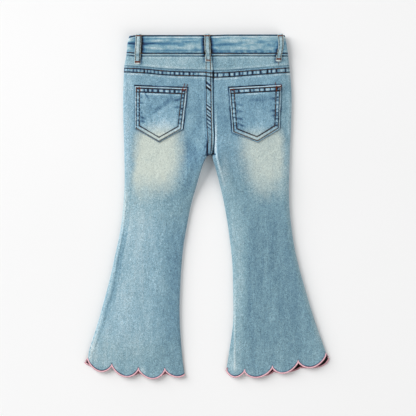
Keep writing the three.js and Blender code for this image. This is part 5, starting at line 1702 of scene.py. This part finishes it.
tail(tacks, [on_pocket("pocket_left", 183.0, 89.0), on_back(183.6, 86.6, 0.9), on_back(184.5, 84.6), on_back(184.9, 83.4)], 0.4, 0.7)
tail(tacks, [on_pocket("pocket_left", 185.6, 89.6), on_back(186.4, 86.8, 0.9), on_back(187.4, 85.0), on_back(187.5, 84.0)], 0.4, 0.5)
tail(tacks, [on_pocket("pocket_right", 275.9, 88.6), on_back(275.7, 85.4, 0.9), on_back(275.4, 83.6), on_back(275.3, 82.4)], 0.4, 0.5)
tail(tacks, [on_back(278.0, 62.2, 1.6), on_back(278.6, 63.8, 0.8), on_back(278.2, 64.9, 0.4)], 0.35, 0.4)

# underside: fly, waistband and front loops
fz = lambda u, v: front_z("left", u, v)
j_line = [(float(fly_u(x)) + 1.2, float(x)) for x in np.linspace(57, 128, 30)]
sew(seams, j_line, lambda u, v: np.maximum(base(v) - 0.1, 0.45), step=3.2, seed=90, down=True, radius=0.4, raise_by=0.0)
sew(seams, [(float(fly_u(x)) + 4.6, float(x)) for x in np.linspace(57, 121, 26)], lambda u, v: np.maximum(base(v) - 0.1, 0.45), step=3.2, seed=91, down=True, radius=0.4, raise_by=0.0)
band_under = lambda u, v: LIFT + 0.2 + 0 * u
sew(seams, [(x, 53.3) for x in np.linspace(131, 284, 40)], band_under, step=3.2, seed=92, down=True, radius=0.4)
sew(seams, [(x, 36.2) for x in np.linspace(133, 282, 40)], band_under, step=3.2, seed=93, down=True, radius=0.4)
for u0 in (164.0, 254.0):
    for s in (-2.3, 2.3):
        sew(seams, [(u0 + s, 37), (u0 + s, 61)], lambda u, v: np.where(v < 56, 0.72, np.maximum(base(v) - 1.8, 0.55)), step=3.0, seed=int(94 + u0 + s), down=True, radius=0.34, raise_by=0.0)
seam_ob = seams.make("topstitching", SEAM_THREAD, "seam_thread")
tack_ob = tacks.make("bar_tacks", TACK_THREAD, "bartack_thread")

# ---------------------------------------------------------------- overlocked edging round the hems
for side in ("left", "right"):
    bu, bl_ = hem_lines[side, "back"]
    fu, fl = hem_lines[side, "front"]
    back = (bu + bl_) / 2
    front = ((fu + fl) / 2)[::-1]
    path = np.concatenate([back, front])
    # evenly spaced again, about 0.55 mm apart, so that each wrap of thread has its own ring
    closed = np.concatenate([path, path[:1]])
    t = np.concatenate([[0], np.cumsum(np.linalg.norm(np.diff(closed, axis=0), axis=1))])
    n = int(t[-1] / 0.56)
    s = np.linspace(0, t[-1], n, endpoint=False)
    line = np.stack([np.interp(s, t, closed[:, k]) for k in range(3)], -1)
    nb = int(np.searchsorted(s, t[len(back) - 1]))
    # direction out of the cloth, in the plane of the panel
    d = np.roll(line, -3, axis=0) - np.roll(line, 3, axis=0)
    out = np.stack([d[:, 1], -d[:, 0]], -1)
    out /= np.maximum(np.hypot(*out.T), 1e-9)[:, None]
    flip = out[:, 1] > 0
    out[flip] *= -1
    out[:, 1] = np.minimum(out[:, 1], -0.30)
    for _ in range(6):
        out = (np.roll(out, 1, axis=0) + out * 2 + np.roll(out, -1, axis=0)) / 4
    out /= np.hypot(*out.T)[:, None]
    width, thick = 3.3, 1.7
    wrap = 0.5 + 0.5 * np.cos(np.arange(n) * math.pi)  # rings alternate between crest and groove
    jitter = np.random.default_rng(5).normal(0, 0.06, n)
    grow = 0.88 + 0.16 * wrap + jitter * 0.7
    K = 10
    ang = 2 * np.pi * np.arange(K) / K
    pts = np.zeros((n, K, 3))
    tint = np.zeros((n, K))
    centre = line.copy()
    centre[:, :2] += out * (width * 0.36)
    lowest = thick / 2 + 0.15
    centre[:, 2] = np.maximum(centre[:, 2] + np.where(np.arange(n) < nb, 0.25, 0.0), lowest)
    for k, w in enumerate(ang):
        cx, cz = math.cos(w), math.sin(w)
        pts[:, k, :2] = centre[:, :2] + out * (cx * width / 2 * grow)[:, None]
        pts[:, k, 2] = centre[:, 2] + cz * thick / 2 * grow
        # the thread is rose towards its outer edge; painted shade darkens the grooves between wraps and its inner side
        # against the cloth
        tint[:, k] = np.clip(0.95 - 0.75 * max(0.0, cx) ** 1.8 + 0.2 * (wrap - 0.5) + 0.06 * jitter / 0.06 - 0.9 * (cx < -0.75), 0, 1)
    # where the front hem lies under the back one its thread is painted darker as shade, less so near the side seam
    back_side = np.arange(n) >= nb
    from_seam = np.abs(line[:, 0] / UNIT + MID_X - (87.4 if side == "left" else 327.0))
    tint[back_side] *= (0.42 + 0.43 * (1 - smooth((from_seam - 5) / 6)))[back_side][:, None]
    i, j = np.meshgrid(np.arange(n), np.arange(K), indexing="ij")
    a = i * K + j
    b = ((i + 1) % n) * K + j
    c = ((i + 1) % n) * K + (j + 1) % K
    e = i * K + (j + 1) % K
    faces = np.stack([a, b, c, e], -1).reshape(-1, 4)
    if side == "right":
        faces = faces[:, ::-1]
    ob = mesh_object("hem_edging_" + side + "_thread", pts.reshape(-1, 3), faces, {"tint": tint.ravel()}, PINK, sharp=0)
    keep(ob, "edging_thread", "hem_edging_" + side)

# ---------------------------------------------------------------- button
lo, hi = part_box("button")
bc = np.array([(lo[0] + hi[0]) / 2, (lo[1] + hi[1]) / 2]) * 1000
prof = [(0, 0.75), (1.2, 0.7), (1.9, 0.45), (2.6, 0.62), (4.6, 0.66), (5.0, 0.42), (5.5, 0.4), (6.1, 0.1), (6.9, 0.12), (7.35, 0.5), (7.45, 1.0), (7.1, 1.35), (5.5, 1.45), (3.2, 1.5), (3.0, 2.3), (0, 2.35)]
n = 48
pts, faces, ids = [], [], []
for r, z in prof:
    if r == 0:
        ids.append([len(pts)])
        pts.append((bc[0], bc[1], z))
    else:
        ids.append(list(range(len(pts), len(pts) + n)))
        for k in range(n):
            w = 2 * math.pi * k / n
            pts.append((bc[0] + r * math.cos(w), bc[1] + r * math.sin(w), z))
for p0, p1 in zip(ids[:-1], ids[1:]):
    for k in range(n):
        if len(p0) == 1:
            faces.append((p0[0], p1[(k + 1) % n], p1[k]))
        elif len(p1) == 1:
            faces.append((p0[k], p0[(k + 1) % n], p1[0]))
        else:
            faces.append((p0[k], p0[(k + 1) % n], p1[(k + 1) % n], p1[k]))
ob = mesh_object("button_metal_cap", pts, faces, {}, METAL, sharp=40)
keep(ob, "button_metal", "button")

# ---------------------------------------------------------------- sheets: sizes of the cut and the pieces underneath, looked up but not used
FLAT = {  # width and length of the cut that shows, metres
    "back_left": (0.176, 0.545), "back_right": (0.176, 0.545), "front_left": (0.180, 0.565), "front_right": (0.180, 0.565),
    "yoke_left_cloth": (0.157, 0.032), "yoke_right_cloth": (0.138, 0.032), "pocket_left_cloth": (0.093, 0.098), "pocket_right_cloth": (0.094, 0.099),
    "belt_loop_back_left_cloth": (0.0115, 0.054), "belt_loop_back_centre_cloth": (0.0115, 0.049), "belt_loop_back_right_cloth": (0.0115, 0.051),
    "belt_loop_front_left_cloth": (0.0115, 0.048), "belt_loop_front_right_cloth": (0.0115, 0.048), "fly_cloth": (0.030, 0.128),
}
for ob in list(pieces):
    if ob.name in FLAT:
        w, l = FLAT[ob.name]
        under = {"back_left": ["front_left"], "back_right": ["front_right"], "yoke_left_cloth": ["front_left"], "yoke_right_cloth": ["front_right"],
                 "pocket_left_cloth": ["back_left"], "pocket_right_cloth": ["back_right"], "belt_loop_back_left_cloth": ["waistband_cloth"],
                 "belt_loop_back_centre_cloth": ["waistband_cloth"], "belt_loop_back_right_cloth": ["waistband_cloth"]}.get(ob.name, [])

# ---------------------------------------------------------------- floor, lights and camera
bpy.ops.mesh.primitive_plane_add(size=6, location=(0, 0, -0.0002))
floor = bpy.context.object
floor.name = "floor"
floor.data.materials.append(floor_material())

world = bpy.data.worlds.new("studio")
bpy.context.scene.world = world
world.use_nodes = True
world.node_tree.nodes["Background"].inputs[0].default_value = (1.0, 1.0, 1.0, 1)
world.node_tree.nodes["Background"].inputs[1].default_value = 0.34


def area_light(name, place, target, size, power):
    data = bpy.data.lights.new(name, "AREA")
    data.shape = "SQUARE"
    data.size = size
    data.energy = power
    ob = bpy.data.objects.new(name, data)
    ob.location = place
    d = np.array(target, float) - np.array(place, float)
    # a lamp shines along its own -Z
    ob.rotation_euler = (math.acos(-d[2] / np.linalg.norm(d)), 0.0, math.atan2(-d[0], d[1]))
    bpy.context.scene.collection.objects.link(ob)
    return ob


area_light("key", (-5.4, 3.4, 4.0), (0.0, 0.0, 0.0), 6.0, 660.0)
area_light("fill", (5.0, -3.8, 3.8), (0.0, 0.0, 0.0), 6.0, 205.0)

cam = bpy.data.cameras.new("camera")
camera = bpy.data.objects.new("camera", cam)
bpy.context.scene.collection.objects.link(camera)
DIST = 3.0
camera.location = (float(X(208.0)) * 0.001, float(Y(208.0)) * 0.001, DIST)
camera.rotation_euler = (0, 0, 0)
cam.sensor_width = 36.0
cam.lens = 36.0 * (DIST - 0.009) / (416 * UNIT * 0.001)
cam.clip_end = 20
bpy.context.scene.camera = camera

bpy.context.scene.view_settings.view_transform = "Standard"
bpy.context.scene.view_settings.look = "None"
bpy.context.scene.view_settings.exposure = 0.0
bpy.context.scene.view_settings.gamma = 1.0
